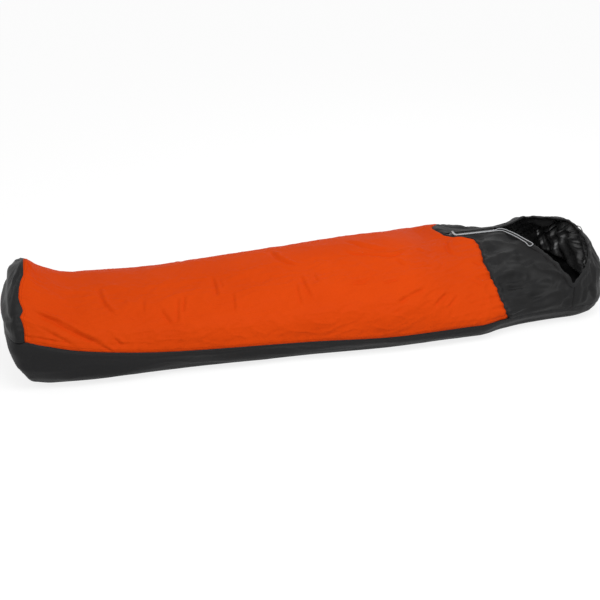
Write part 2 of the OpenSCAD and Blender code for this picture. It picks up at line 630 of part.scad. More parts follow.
module zip_pull_cord() color([0.8, 0.81, 0.82])
    tube(cord_rings(curve(pull_route, 2), pull_cord_d / 2, 8));

floor_tub();
foot_panel();
top_panel();
hood_near_panel();
hood_far_panel();
hood_crown();
hood_lining();
rim_channel();
drawcord();
drawcord_tail();
drawcord_knot();
cord_eyelet();
cord_lock_barrel();
cord_lock_button();
cord_lock_spring();
zip_tape_near();
zip_tape_far();
zip_teeth_near();
zip_teeth_far();
zip_bottom_stop();
zip_top_stops();
zip_slider();
pull_cord_knot();
zip_pull_cord();
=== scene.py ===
import math

import bmesh
import bpy
import numpy as np
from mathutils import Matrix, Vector


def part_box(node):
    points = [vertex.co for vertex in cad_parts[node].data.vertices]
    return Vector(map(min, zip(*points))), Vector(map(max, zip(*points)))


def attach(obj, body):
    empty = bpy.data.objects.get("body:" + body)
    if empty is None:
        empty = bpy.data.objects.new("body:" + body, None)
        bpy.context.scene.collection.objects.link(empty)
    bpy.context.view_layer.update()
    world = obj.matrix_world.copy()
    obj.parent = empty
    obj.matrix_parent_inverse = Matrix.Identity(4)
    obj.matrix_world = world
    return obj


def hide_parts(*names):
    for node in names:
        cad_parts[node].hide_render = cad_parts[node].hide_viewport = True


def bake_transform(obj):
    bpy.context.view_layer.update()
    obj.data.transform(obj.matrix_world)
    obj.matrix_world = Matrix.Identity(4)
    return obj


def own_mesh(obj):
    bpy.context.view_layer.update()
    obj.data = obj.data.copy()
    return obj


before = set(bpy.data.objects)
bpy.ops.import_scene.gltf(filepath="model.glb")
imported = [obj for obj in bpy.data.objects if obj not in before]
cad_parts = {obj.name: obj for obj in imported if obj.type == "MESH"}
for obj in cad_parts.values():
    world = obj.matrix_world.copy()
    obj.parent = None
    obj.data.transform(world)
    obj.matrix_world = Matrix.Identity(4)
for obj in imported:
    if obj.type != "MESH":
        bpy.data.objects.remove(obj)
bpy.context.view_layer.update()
scene = bpy.context.scene
scene.view_settings.view_transform = "Standard"


# Objects in the scene

def add_object(name, data):
    """A new object at the origin, linked to the scene."""
    made = bpy.data.objects.new(name, data)
    scene.collection.objects.link(made)
    return made


def look(thing, place, aim):
    """A camera or lamp put at a place and turned towards a point."""
    thing.location = place
    thing.rotation_mode = "QUATERNION"
    thing.rotation_quaternion = (Vector(aim) - Vector(place)).to_track_quat("-Z", "Y")


# The camera at the photograph's angle, aimed above the middle of the floor

CAMERA_TURN = math.radians(14.5)
CAMERA_TILT = math.radians(27.5)
CAMERA_DISTANCE = 3.4
CAMERA_AIM = Vector((0, 0, 0.12))
CAMERA_LENS = 57.32
CAMERA_SHIFT = (-0.0242, -0.0125)

away = Vector((-math.sin(CAMERA_TURN) * math.cos(CAMERA_TILT),
               -math.cos(CAMERA_TURN) * math.cos(CAMERA_TILT),
               math.sin(CAMERA_TILT)))
camera = add_object("camera", bpy.data.cameras.new("camera"))
look(camera, CAMERA_AIM + away * CAMERA_DISTANCE, CAMERA_AIM)
camera.data.lens = CAMERA_LENS
camera.data.shift_x, camera.data.shift_y = CAMERA_SHIFT
scene.camera = camera

# Mesh makers

TINY = 1e-9
STEEP = 0.9
MERGE_WITHIN = 1e-5


def unit(v):
    """Vectors divided by their length."""
    return v / np.maximum(np.linalg.norm(v, axis=-1, keepdims=True), TINY)


def grid_faces(rows, columns, wrap=False):
    """Four-sided faces between neighbouring points of a grid, closed round the second parameter with wrap."""
    i, j = np.meshgrid(np.arange(rows - 1), np.arange(columns if wrap else columns - 1), indexing="ij")
    a = i * columns + j
    b = i * columns + (j + 1) % columns
    return np.stack([a, a + columns, b + columns, b], -1).reshape(-1, 4).tolist()


def capped_faces(count, sides, start=0):
    """Faces of a tube of rings, each end closed by a fan of triangles from its ring's first point."""
    k = np.arange(1, sides - 1)
    low = start + np.stack([0 * k, k, k + 1], -1)
    high = low[:, [0, 2, 1]] + (count - 1) * sides
    body = start + np.array(grid_faces(count, sides, wrap=True))
    return body.tolist() + low.tolist() + high.tolist()


def add_uv(mesh, name, per_point):
    """A UV map with one pair per point of the mesh."""
    corner = np.zeros(len(mesh.loops), np.int32)
    mesh.loops.foreach_get("vertex_index", corner)
    layer = mesh.uv_layers.new(name=name)
    layer.data.foreach_set("uv", per_point.reshape(-1, 2)[corner].astype(np.float32).ravel())


def make_piece(name, points, faces, material, maps=None, flip=False, wall=0.0, merge=False, outward=False):
    """A mesh object at the origin from points and faces, which flip turns over. Optional: UV maps, doubles
    merged, normals turned outward, and a wall thickness."""
    mesh = bpy.data.meshes.new(name)
    turned = [face[::-1] for face in faces] if flip else faces
    mesh.from_pydata(points.reshape(-1, 3).tolist(), [], turned)
    for key, pairs in (maps or {}).items():
        add_uv(mesh, key, pairs)
    if merge or outward:
        work = bmesh.new()
        work.from_mesh(mesh)
        if merge:
            bmesh.ops.remove_doubles(work, verts=work.verts, dist=MERGE_WITHIN)
            bmesh.ops.dissolve_degenerate(work, edges=work.edges, dist=MERGE_WITHIN / 2)
        if outward:
            bmesh.ops.recalc_face_normals(work, faces=work.faces)
        work.to_mesh(mesh)
        work.free()
    mesh.shade_smooth()
    mesh.materials.append(material)
    piece = add_object(name, mesh)
    if wall:
        thick = piece.modifiers.new("wall", "SOLIDIFY")
        thick.thickness = wall
        thick.offset = -1
    return piece


def catmull(points, steps=8):
    """A smooth line through points: cubic pieces whose slope at a point is half the step between the points
    before and after it."""
    p = np.asarray(points, float)
    p = np.vstack([2 * p[:1] - p[1:2], p, 2 * p[-1:] - p[-2:-1]])
    t = (np.arange(steps) / steps)[None, :, None]
    a, b, c, d = (p[k:len(p) - 3 + k][:, None] for k in range(4))
    line = b + t / 2 * (c - a + t * (2 * a - 5 * b + 4 * c - d + t * (3 * b - a - 3 * c + d)))
    return np.vstack([line.reshape(-1, p.shape[1]), p[-2:-1]])


def run_of(line):
    """Length along a line at each of its points."""
    return np.concatenate([[0], np.cumsum(np.linalg.norm(np.diff(line, axis=0), axis=1))])


def evenly(line, count):
    """The line again with points the same length apart."""
    run = run_of(line)
    at = np.linspace(0, run[-1], count)
    return np.stack([np.interp(at, run, column) for column in line.T], -1)


def tube_points(line, radius, sides):
    """Rings of points round a line: radius times cosine and sine of an even turn, along two directions square
    to the heading. The first is level, or square to the sack's long axis where the line is steep."""
    heading = unit(np.gradient(line, axis=0))
    guide = np.where(np.abs(heading[:, 2:]) > STEEP, [[1.0, 0, 0]], [[0, 0, 1.0]])
    first = unit(np.cross(guide, heading))
    second = np.cross(heading, first)
    turn = (2 * np.pi * np.arange(sides) / sides)[None, :, None]
    return line[:, None] + radius * (np.cos(turn) * first[:, None] + np.sin(turn) * second[:, None])


def make_tubes(name, lines, radius, sides, material):
    """Closed tubes along lines as one mesh. Its UV map is the length along a line, and a way round that falls
    from 1 to 0 and comes back, so that it meets itself."""
    rings = []
    pairs = []
    faces = []
    start = 0
    for line in lines:
        rings.append(tube_points(line, radius, sides))
        along_it, round_it = np.meshgrid(run_of(line), np.arange(sides) / sides, indexing="ij")
        pairs.append(np.stack([along_it, np.abs(2 * round_it - 1)], -1))
        faces += capped_faces(len(line), sides, start)
        start += len(line) * sides
    maps = {"cloth": np.concatenate(pairs)}
    return make_piece(name, np.concatenate(rings), faces, material, maps, outward=True)


# Shader parts

def put(tree, kind, values=None, **settings):
    """A shader node with its settings, and its inputs set to numbers or linked to sockets."""
    made = tree.nodes.new("ShaderNode" + kind)
    for key, value in settings.items():
        setattr(made, key, value)
    for key, value in (values or {}).items():
        if isinstance(value, bpy.types.NodeSocket):
            tree.links.new(value, made.inputs[key])
        else:
            made.inputs[key].default_value = value
    return made


def calc(tree, operation, *values):
    """The result of one Math node."""
    return put(tree, "Math", dict(enumerate(values)), operation=operation).outputs[0]


def noise(tree, place, scale, detail, roughness=0.5, distortion=0.0):
    """The value of one Noise Texture node."""
    return put(tree, "TexNoise", {"Vector": place, "Scale": scale, "Detail": detail, "Roughness": roughness,
                                  "Distortion": distortion}).outputs[0]


def peak(tree, value, middle, narrowness):
    """1 where a value is at a middle, falling evenly to 0 on both sides of it."""
    off = calc(tree, "ABSOLUTE", calc(tree, "SUBTRACT", value, middle))
    flank = calc(tree, "MINIMUM", calc(tree, "MULTIPLY", off, narrowness), 1.0)
    return calc(tree, "SUBTRACT", 1.0, flank)


def start_group(name, inputs, outputs):
    """An empty shader group with named inputs, vectors or values with a default, and value outputs."""
    tree = bpy.data.node_groups.new(name, "ShaderNodeTree")
    for key, value in inputs.items():
        kind = "NodeSocketVector" if value is None else "NodeSocketFloat"
        socket = tree.interface.new_socket(key, in_out="INPUT", socket_type=kind)
        if value is not None:
            socket.default_value = value
    for key in outputs:
        tree.interface.new_socket(key, in_out="OUTPUT", socket_type="NodeSocketFloat")
    return tree, tree.nodes.new("NodeGroupInput").outputs, tree.nodes.new("NodeGroupOutput").inputs


def weave_group():
    """Plain weave: sine across times sine along, at a number of threads per metre."""
    tree, given, out = start_group("plain_weave", {"Place": None, "Threads": 1400.0}, ["Height"])
    split = put(tree, "SeparateXYZ", {0: given["Place"]}).outputs
    turns = calc(tree, "MULTIPLY", given["Threads"], math.pi)
    waves = [calc(tree, "SINE", calc(tree, "MULTIPLY", split[axis], turns)) for axis in range(2)]
    tree.links.new(calc(tree, "MULTIPLY", *waves), out["Height"])
    return tree


def crease_group():
    """Fine creases: peaks where a noise passes its middle, sharpened by a power. A slow noise is the tone."""
    narrowness, sharpness, slower = 9.0, 1.6, 0.35
    tree, given, out = start_group("cloth_creases", {"Place": None, "Scale": 9.0}, ["Height", "Tone"])
    wide = noise(tree, given["Place"], given["Scale"], 3.0, roughness=0.45, distortion=0.7)
    slow = noise(tree, given["Place"], calc(tree, "MULTIPLY", given["Scale"], slower), 2.0)
    tree.links.new(calc(tree, "POWER", peak(tree, wide, 0.5, narrowness), sharpness), out["Height"])
    tree.links.new(slow, out["Tone"])
    return tree


def stitch_group():
    """Two rows of stitches beside a seam: dashes along the run at two distances from the edge, the thread
    standing in a groove."""
    dash_share, narrowness, thread_up, groove_down = 0.74, 1100.0, 0.6, 0.9
    sizes = {"Place": None, "First": 0.003, "Second": 0.0095, "Pitch": 0.0042}
    tree, given, out = start_group("stitch_rows", sizes, ["Thread", "Height"])
    split = put(tree, "SeparateXYZ", {0: given["Place"]}).outputs
    pitches = calc(tree, "DIVIDE", split[0], given["Pitch"])
    dash = calc(tree, "LESS_THAN", calc(tree, "FRACT", pitches), dash_share)
    rows = [peak(tree, split[1], given[row], narrowness) for row in ("First", "Second")]
    line = calc(tree, "MAXIMUM", *rows)
    thread = calc(tree, "MULTIPLY", line, dash)
    height = calc(tree, "SUBTRACT", calc(tree, "MULTIPLY", thread, thread_up),
                  calc(tree, "MULTIPLY", line, groove_down))
    tree.links.new(thread, out["Thread"])
    tree.links.new(height, out["Height"])
    return tree


def braid_group():
    """Braided sheath: two families of strands that wind opposite ways round the cord, the larger of the two
    on top, and flecks where both stand high or both lie low."""
    fleck_from = 0.72
    sizes = {"Place": None, "Strands": 5.0, "Lay": 420.0}
    tree, given, out = start_group("cord_braid", sizes, ["Height", "Fleck"])
    split = put(tree, "SeparateXYZ", {0: given["Place"]}).outputs
    along_it = calc(tree, "MULTIPLY", split[0], calc(tree, "MULTIPLY", given["Lay"], math.pi))
    round_it = calc(tree, "MULTIPLY", split[1], calc(tree, "MULTIPLY", given["Strands"], math.pi))
    one = calc(tree, "SINE", calc(tree, "ADD", along_it, round_it))
    two = calc(tree, "SINE", calc(tree, "SUBTRACT", along_it, round_it))
    # This height also sets the cord's colour, darker in the low places as painted shade between the strands.
    tree.links.new(calc(tree, "MAXIMUM", one, two), out["Height"])
    tree.links.new(calc(tree, "GREATER_THAN", calc(tree, "MULTIPLY", one, two), fleck_from), out["Fleck"])
    return tree


def scuff_group():
    """Handling marks: a fine and a broad noise multiplied, for roughness and slight wear."""
    broader = 0.2
    tree, given, out = start_group("handling_scuffs", {"Place": None, "Scale": 300.0}, ["Mark", "Grain"])
    broad = noise(tree, given["Place"], calc(tree, "MULTIPLY", given["Scale"], broader), 3.0)
    fine = noise(tree, given["Place"], given["Scale"], 4.0)
    tree.links.new(calc(tree, "MULTIPLY", broad, fine), out["Mark"])
    tree.links.new(fine, out["Grain"])
    return tree


WEAVE = weave_group()
CREASES = crease_group()
STITCHES = stitch_group()
BRAID = braid_group()
SCUFFS = scuff_group()


def use(tree, group, **values):
    """The outputs of a shader group placed in a material, with its inputs set or linked."""
    return put(tree, "Group", values, node_tree=group).outputs


def start_material(name, **fixed):
    """A material with a Principled shader whose constant values are set on its own sockets."""
    made = bpy.data.materials.new(name)
    made.use_nodes = True
    shader = made.node_tree.nodes["Principled BSDF"]
    for key, value in fixed.items():
        shader.inputs[key.replace("_", " ")].default_value = value
    return made, made.node_tree, shader.inputs


def spread(tree, value, low, high):
    """A 0 to 1 value carried to the range from low to high."""
    return put(tree, "MapRange", {"Value": value, "To Min": low, "To Max": high}).outputs[0]


def laid_over(tree, mask, base, top):
    """A colour, or a colour socket, with a plain colour mixed over it by a mask."""
    under = base if isinstance(base, bpy.types.NodeSocket) else (*base, 1)
    return put(tree, "Mix", {"Factor": mask, "A": under, "B": (*top, 1)}, data_type="RGBA").outputs["Result"]


def raised(tree, height, strength, distance, under=None):
    """A Bump node's normal, over another normal if there is one."""
    bump = put(tree, "Bump", {"Height": height, "Strength": strength, "Distance": distance})
    if under is not None:
        tree.links.new(under, bump.inputs["Normal"])
    return bump.outputs["Normal"]


def cloth_material(name, deep, light, rough, creases, thread=None, **fixed):
    """Coated cloth: weave, fine creases, and a slow tone that the roughness follows. With a thread colour it
    has rows of stitches along its seams."""
    made, tree, shader = start_material(name, **fixed)
    place = put(tree, "UVMap", uv_map="cloth").outputs[0]
    crease = use(tree, CREASES, Place=place, Scale=13.0)
    weave = use(tree, WEAVE, Place=place)
    colour = laid_over(tree, crease["Tone"], deep, light)
    normal = raised(tree, crease["Height"], strength=creases, distance=0.0012)
    normal = raised(tree, weave["Height"], strength=0.12, distance=0.0002, under=normal)
    if thread:
        stitch = use(tree, STITCHES, Place=put(tree, "UVMap", uv_map="seam").outputs[0])
        colour = laid_over(tree, stitch["Thread"], colour, thread)
        normal = raised(tree, stitch["Height"], strength=0.8, distance=0.0008, under=normal)
    tree.links.new(colour, shader["Base Color"])
    tree.links.new(spread(tree, crease["Tone"], rough - 0.06, rough + 0.06), shader["Roughness"])
    tree.links.new(normal, shader["Normal"])
    return made


def cord_material(name, deep, light, fleck, rough):
    """Braided cord: strands by the braid group, their colour darker where the braid lies low as painted shade
    between the strands, with a few flecks of another thread.
    """
    made, tree, shader = start_material(name)
    braid = use(tree, BRAID, Place=put(tree, "UVMap", uv_map="cloth").outputs[0])
    # The strands' colour runs from deep where the braid lies low to light where it stands high: painted shade
    # in the grooves between strands.
    strands = laid_over(tree, spread(tree, braid["Height"], 0.0, 1.0), deep, light)
    tree.links.new(laid_over(tree, braid["Fleck"], strands, fleck), shader["Base Color"])
    tree.links.new(spread(tree, braid["Height"], rough + 0.1, rough - 0.05), shader["Roughness"])
    tree.links.new(raised(tree, braid["Height"], strength=0.7, distance=0.0004), shader["Normal"])
    return made


def hard_material(name, deep, light, rough, **fixed):
    """Moulded plastic or metal: two tones by handling marks, and a fine grain in its surface."""
    made, tree, shader = start_material(name, **fixed)
    scuff = use(tree, SCUFFS, Place=put(tree, "TexCoord").outputs["Object"], Scale=300.0)
    tree.links.new(laid_over(tree, spread(tree, scuff["Mark"], -0.2, 1.6), deep, light), shader["Base Color"])
    tree.links.new(spread(tree, scuff["Mark"], rough - 0.08, rough + 0.2), shader["Roughness"])
    tree.links.new(raised(tree, scuff["Grain"], strength=0.15, distance=0.0003), shader["Normal"])
    return made


SHELL_ORANGE = cloth_material("shell_orange", (0.64, 0.053, 0.0026), (0.75, 0.070, 0.0042), 0.60,
                              creases=0.24, thread=(0.46, 0.034, 0.003), Specular_IOR_Level=0.03)
TUB_BLACK = cloth_material("tub_black", (0.0125, 0.0125, 0.0130), (0.0185, 0.0185, 0.0192), 0.58,
                           creases=0.3, thread=(0.03, 0.03, 0.031), Specular_IOR_Level=0.14)
SHELL_BLACK = cloth_material("shell_black", (0.0108, 0.0108, 0.0111), (0.0162, 0.0162, 0.0166), 0.50,
                             creases=0.3, thread=(0.026, 0.026, 0.027), Specular_IOR_Level=0.14)
LINING_BLACK = cloth_material("lining_black", (0.018, 0.018, 0.0184), (0.025, 0.025, 0.0254), 0.36,
                              creases=0.12, Specular_IOR_Level=0.85)
RIM_BLACK = cloth_material("rim_black", (0.0095, 0.0095, 0.0099), (0.0145, 0.0145, 0.0150), 0.56,
                           creases=0.25, thread=(0.026, 0.026, 0.027), Specular_IOR_Level=0.18)
ZIP_TAPE = cloth_material("zip_tape", (0.012, 0.012, 0.013), (0.02, 0.02, 0.021), 0.7, creases=0.1)
CORD_BLACK = cord_material("cord_black", (0.008, 0.008, 0.008), (0.03, 0.03, 0.031), (0.06, 0.06, 0.06), 0.6)
CORD_GREY = cord_material("cord_grey", (0.36, 0.37, 0.38), (0.66, 0.67, 0.69), (0.80, 0.81, 0.82), 0.5)
LOCK_PLASTIC = hard_material("lock_plastic", (0.012, 0.012, 0.012), (0.03, 0.03, 0.03), 0.42)
BUTTON_PLASTIC = hard_material("button_plastic", (0.02, 0.02, 0.021), (0.05, 0.05, 0.051), 0.38)
ZIP_TEETH = hard_material("zip_teeth", (0.015, 0.015, 0.016), (0.04, 0.04, 0.041), 0.4)
ZIP_METAL = hard_material("zip_metal", (0.30, 0.30, 0.31), (0.48, 0.48, 0.49), 0.34, Metallic=1.0)
EYELET_METAL = hard_material("eyelet_metal", (0.10, 0.10, 0.10), (0.2, 0.2, 0.2), 0.36, Metallic=1.0)
SPRING_STEEL = hard_material("spring_steel", (0.45, 0.45, 0.46), (0.6, 0.6, 0.61), 0.28, Metallic=1.0)

# The hard nodes keep their CAD shape and get a finish

FINISHES = {"cord_eyelet": EYELET_METAL, "cord_lock_barrel": LOCK_PLASTIC,
            "cord_lock_button": BUTTON_PLASTIC, "zip_bottom_stop": ZIP_METAL, "zip_slider": ZIP_METAL}
for node, finish in FINISHES.items():
    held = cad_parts[node]
    held.data.materials.clear()
    held.data.materials.append(finish)

# Surfaces of the sack by the formulas of the part's source, in metres, at stations from foot to head

RUNS = np.array([85, 150, 330, 400, 350, 262, 95, 120, 140, 176]) / 1000
STATIONS = np.cumsum(RUNS)[:-1] - RUNS.sum() / 2
HALF_WIDTHS = np.array([470, 500, 516, 556, 600, 600, 556, 524, 512]) / 2000
CRESTS = np.array([342, 252, 240, 253, 266, 240, 240, 240, 272]) / 1000
TUB_TOPS = np.array([186, 142, 101, 86, 72, 74, 74, 74, 74]) / 1000
LEANS = np.array([0, 0, 0, 0, 0, 110, 110, 110, 0]) / 1000
TUCKS = np.array([0, 0, 0, 0, 0, 62 / 3, 62, 62, 0]) / 1000
ARCHES = np.array([2.2] * 8 + [2.7])
FOOT_DEPTH, CROWN_DEPTH = RUNS[0], RUNS[-1]
BELLY, FLOOR_ROUND = 0.105, 0.090
EDGE_POWER, TOE_POWER, HEAD_POWER = 2.2, 2.9, 2.6
TOE_FLOOR_POWER, TOE_TOP_POWER = 3.0, 2.4
TOE_TOP_FROM, TOE_CHANGE = 0.18, 0.13
TOE_RAKE = 0.033
FOOT_FALL = 1.4
CROWN_SLOPES = 0.8, 0.0
X_FOOT, X_SHOULDER, X_CROWN = STATIONS[0], STATIONS[5], STATIONS[8]
COLLAR_LEAD, COLLAR_SWEEP, COLLAR_FADE = 0.075, 0.030, 2.5
ZIP_LENGTH = 0.180
X_ZIP = X_SHOULDER + 0.024
X_THROAT = X_ZIP + ZIP_LENGTH + 0.008
SLIT_FOOT, SLIT_HEAD = 0.008, 0.012
NEAR_DIP, FAR_DIP, CROWN_RISE, RISE_POWER = 11.0, 57.0, 34.0, 0.6
RIM_FALL, RIM_FLATTEN = 1.8, 1.5
NEAR, FAR = -1, 1
TONGUE_FROM = {NEAR: 0.90, FAR: 0.5}
SEAM_BELLY = {NEAR: (0.024, 0.83, 0.13), FAR: (-0.030, 0.82, 0.12)}
SEAM_WAVES = {NEAR: [(0.0016, 37, 0.5), (0.0013, 83, 2)], FAR: []}


def ease(t):
    """Smooth step from 0 to 1: three times the square less twice the cube."""
    t = np.clip(t, 0, 1)
    return t * t * (3 - 2 * t)


def bell(d, width):
    """A smooth bump: 1 at no distance, fading to both sides with the square of distance over width."""
    return np.exp(-(d / width) ** 2)


def mix(a, b, t):
    """The value a share t of the way from a to b."""
    return a + (b - a) * t


def root(v, power):
    """A positive value to the power 2 / power, for super-ellipses."""
    return np.maximum(v, 0) ** (2 / power)


def along(values, x):
    """A cubic through the stations with harmonic mean slopes, steep at the foot and level at the head."""
    step = np.diff(values) / np.diff(STATIONS)
    slope = np.zeros_like(values)
    slope[0] = FOOT_FALL * step[0]
    same = step[:-1] * step[1:] > 0
    slope[1:-1][same] = 2 * step[:-1][same] * step[1:][same] / (step[:-1] + step[1:])[same]
    x = np.clip(x, STATIONS[0], STATIONS[-1])
    i = np.clip(np.searchsorted(STATIONS, x) - 1, 0, len(STATIONS) - 2)
    h = STATIONS[i + 1] - STATIONS[i]
    t = (x - STATIONS[i]) / h
    q = 1 - t
    return ((1 + 2 * t) * q * q * values[i] + t * q * q * h * slope[i]
            + t * t * (3 - 2 * t) * values[i + 1] - t * t * q * h * slope[i + 1])


def section(x, angle):
    """Half width and height at an angle: a super-ellipse above the belly line and a rounded wall below it."""
    w, h, n = along(HALF_WIDTHS, x), along(CRESTS, x), along(ARCHES, x)
    c, s = np.cos(np.radians(angle)), np.sin(np.radians(angle))
    y = np.where(angle >= 0, w * root(c, n), w - FLOOR_ROUND + FLOOR_ROUND * root(c, EDGE_POWER))
    z = np.where(angle >= 0, BELLY + (h - BELLY) * root(s, n), BELLY - BELLY * root(-s, EDGE_POWER))
    return y, z


def side_point(side, x, angle):
    """A point of a side wall: the section, tucked in at the far throat and leaning over with its height."""
    x, angle = np.broadcast_arrays(np.asarray(x, float), np.asarray(angle, float))
    y, z = section(x, angle)
    tucked = 1 - along(TUCKS, x) / along(HALF_WIDTHS, x) if side == FAR else 1
    lean = along(LEANS, x) * root(np.sin(np.radians(angle)), along(ARCHES, x))
    return np.stack([x, side * tucked * y + lean, z], -1)


def end_point(x_end, reach, power_at, turn, angle, rake=0.0, slopes=(1.0, 1.0)):
    """A point of the toe or crown: the end section carried round a super-ellipse in plan, with a power by
    height. Its slope goes from the near to the far one, and the rake draws in what is below the top of
    the tub."""
    turn, angle = np.broadcast_arrays(np.asarray(turn, float), np.asarray(angle, float))
    y, z = section(np.full(angle.shape, x_end), angle)
    c, s = np.cos(np.radians(turn)), np.sin(np.radians(turn))
    power = power_at(z)
    back = rake * np.clip(1 - z / TUB_TOPS[0], 0, 1)
    share = (y / along(HALF_WIDTHS, x_end)) ** mix(*slopes, (turn + 90) / 180)
    x = x_end + (reach * share + back) * root(c, power)
    return np.stack([x, y * np.sign(s) * root(np.abs(s), power), z], -1)


def toe_power(z):
    """The toe's power in plan: one at the floor, one at mid height and a rounder one at the top."""
    below = mix(TOE_FLOOR_POWER, TOE_POWER, ease(z / TOE_CHANGE))
    return mix(below, TOE_TOP_POWER, ease((z - TOE_TOP_FROM) / TOE_CHANGE))


def head_power(z):
    """The crown's power in plan, the same at every height."""
    return HEAD_POWER


def toe_point(turn, angle):
    """A point of the toe at a turn round the foot end and a section angle."""
    return end_point(X_FOOT, -FOOT_DEPTH, toe_power, turn, angle, rake=TOE_RAKE)


def crown_point(turn, angle):
    """A point of the crown at a turn round the head end and a section angle."""
    return end_point(X_CROWN, CROWN_DEPTH, head_power, turn, angle, slopes=CROWN_SLOPES)


def tub_angle(x):
    """The section angle of the tub's top edge."""
    x = np.asarray(x, float)
    z, n = along(TUB_TOPS, x), along(ARCHES, x)
    up = np.clip((z - BELLY) / (along(CRESTS, x) - BELLY), 0, 1)
    down = np.clip((BELLY - z) / BELLY, 0, 1)
    return np.degrees(np.where(z >= BELLY, np.arcsin(up ** (n / 2)), -np.arcsin(down ** (EDGE_POWER / 2))))


def seam_x(t, side):
    """The hood seam from the tub's edge, 0, to the crest, 1: swept at its foot, with a tongue at the crest.
    The near side bellies towards the head below the tongue and waves; the far side is drawn to the foot."""
    tongue = TONGUE_FROM[side]
    line = X_SHOULDER + COLLAR_LEAD * (1 - ease((t - tongue) / (1 - tongue))) + COLLAR_SWEEP * (1 - t) ** 4
    size, middle, width = SEAM_BELLY[side]
    belly = size * bell(t - middle, width)
    for size, turns, phase in SEAM_WAVES[side]:
        belly = belly + size * np.sin(turns * t + phase)
    return line + belly * ease(t / 0.08) * ease((1 - t) / 0.05)


def slit_angle(x):
    """The section angle of the throat slit's edge, which widens towards the head."""
    half = np.where(x < X_ZIP, SLIT_FOOT * (x - X_SHOULDER) / (X_ZIP - X_SHOULDER),
                    mix(SLIT_FOOT, SLIT_HEAD, (x - X_ZIP) / (X_THROAT - X_ZIP)))
    return np.degrees(np.arccos(np.clip(half / along(HALF_WIDTHS, x), 0, 1) ** (along(ARCHES, x) / 2)))


def rim_angle(x, dip):
    """The section angle of the slit's edge, and past the throat of the rim as it falls to its dip."""
    share = np.clip((x - X_THROAT) / (X_CROWN - X_THROAT), 0, 1)
    start = slit_angle(np.array(X_THROAT))
    return np.where(x <= X_THROAT, slit_angle(np.minimum(x, X_THROAT)),
                    mix(dip, start, np.maximum(1 - share ** RIM_FALL, 0) ** RIM_FLATTEN))


def crown_rim(turn):
    """The section angle of the rim round the crown: from dip to dip, with a rise by the cosine between."""
    rise = CROWN_RISE * np.maximum(np.cos(np.radians(turn)), 0) ** RISE_POWER
    return mix(NEAR_DIP, FAR_DIP, (turn + 90) / 180) + rise


def body_points(u, across):
    """The top panel: across runs from the near edge, -1, over the crest, 0, to the far edge, 1."""
    t = 1 - np.abs(across)
    x = mix(X_FOOT, np.where(across < 0, seam_x(t, NEAR), seam_x(t, FAR)), u)
    angle = mix(tub_angle(x), 90, t)
    return np.where((across < 0)[..., None], side_point(NEAR, x, angle), side_point(FAR, x, angle))


def collar_points(side, u, t):
    """A hood side panel: u runs towards the crown, t up from the tub to the slit and the rim. The seam's
    shape fades out well before the crown."""
    top = mix(X_SHOULDER, X_CROWN, u)
    x = top + (seam_x(t, side) - X_SHOULDER) * (1 - u) ** COLLAR_FADE
    dip = NEAR_DIP if side == NEAR else FAR_DIP
    return side_point(side, x, mix(tub_angle(x), rim_angle(top, dip), t))


def crown_points(turn, t):
    """The crown panel: turn runs from the near to the far side, t up from the tub to the rim."""
    return crown_point(turn, mix(tub_angle(X_CROWN), crown_rim(turn), t))


def toe_points(turn, t):
    """The foot panel: turn runs from the near to the far side, t up from the tub to its top point."""
    return toe_point(turn, mix(tub_angle(X_FOOT), 90, t))


# Cloth: wrinkles, folds and puckers as heights over a surface

RIDGE_MEAN = 0.3
FOLD_POINTS = 24
PUCKER_SOFT, PUCKER_SHARP, PUCKER_FAN, PUCKER_EDGE = 0.65, 0.5, 0.35, 0.006


def normals_of(points):
    """Unit normals of a grid, from the cross product of its two differences; a pole takes its neighbour's."""
    n = unit(np.cross(np.gradient(points, axis=0), np.gradient(points, axis=1)))
    lost = np.linalg.norm(n, axis=-1) < 0.5
    n[:, -1] = np.where(lost[:, -1:], n[:, -2], n[:, -1])
    return n


def lengths(points, axis):
    """Length along a grid's lines from their start."""
    step = np.linalg.norm(np.diff(points, axis=axis), axis=-1)
    zero = np.zeros_like(np.take(step, [0], axis))
    return np.concatenate([zero, np.cumsum(step, axis)], axis)


def ripples(place, size, seed, waves=18):
    """A soft random field of about unit height: sine waves of random headings, as long as the sizes given
    or near it."""
    draw = np.random.default_rng(seed)
    heading = draw.normal(size=(waves, place.shape[-1]))
    heading = unit(heading) * draw.uniform(0.55, 1.5, (waves, 1)) * 2 * np.pi / np.asarray(size, float)
    phase = draw.uniform(0, 2 * np.pi, waves)
    return np.sin(place @ heading.T + phase).sum(-1) * math.sqrt(2 / waves)


def ridges(place, size, seed):
    """Sharp creases: one minus the size of a ripple field, raised to the second power."""
    return np.clip(1 - np.abs(ripples(place, size, seed)), 0, 1) ** 2


def crumple(place, soft, sharp):
    """Ripples and ridges added up, each by its height, its sizes along and across, and its seed. The ridges
    stand about their mean."""
    total = np.zeros(place.shape[:-1])
    for height, size, seed in soft:
        total += height * ripples(place, size, seed)
    for height, size, seed in sharp:
        total += height * (ridges(place, size, seed) - RIDGE_MEAN)
    return total


def fold(place, path, width, height):
    """A fold along a smooth path on the cloth: a valley with a ridge beside it, easing in and out along
    its length."""
    ends, ridge_share, ridge_off, ridge_width = 0.3, 0.75, 1.7, 1.3
    line = evenly(catmull(path), FOLD_POINTS)
    step = np.diff(line, axis=0)
    flat = place.reshape(-1, 1, 2) - line[None, :-1]
    share = np.clip((flat * step).sum(-1) / (step ** 2).sum(-1), 0, 1)
    off = flat - share[..., None] * step
    far = np.linalg.norm(off, axis=-1)
    k = far.argmin(1)
    pick = np.arange(len(k))
    side = np.sign(step[k, 0] * off[pick, k, 1] - step[k, 1] * off[pick, k, 0])
    at = (k + share[pick, k]) / len(step)
    taper = ease(at / ends) * ease((1 - at) / ends)
    d = side * far[pick, k] / width
    shape = ridge_share * bell(d - ridge_off, ridge_width) - bell(d, 1)
    return (height * taper * shape).reshape(place.shape[:-1])


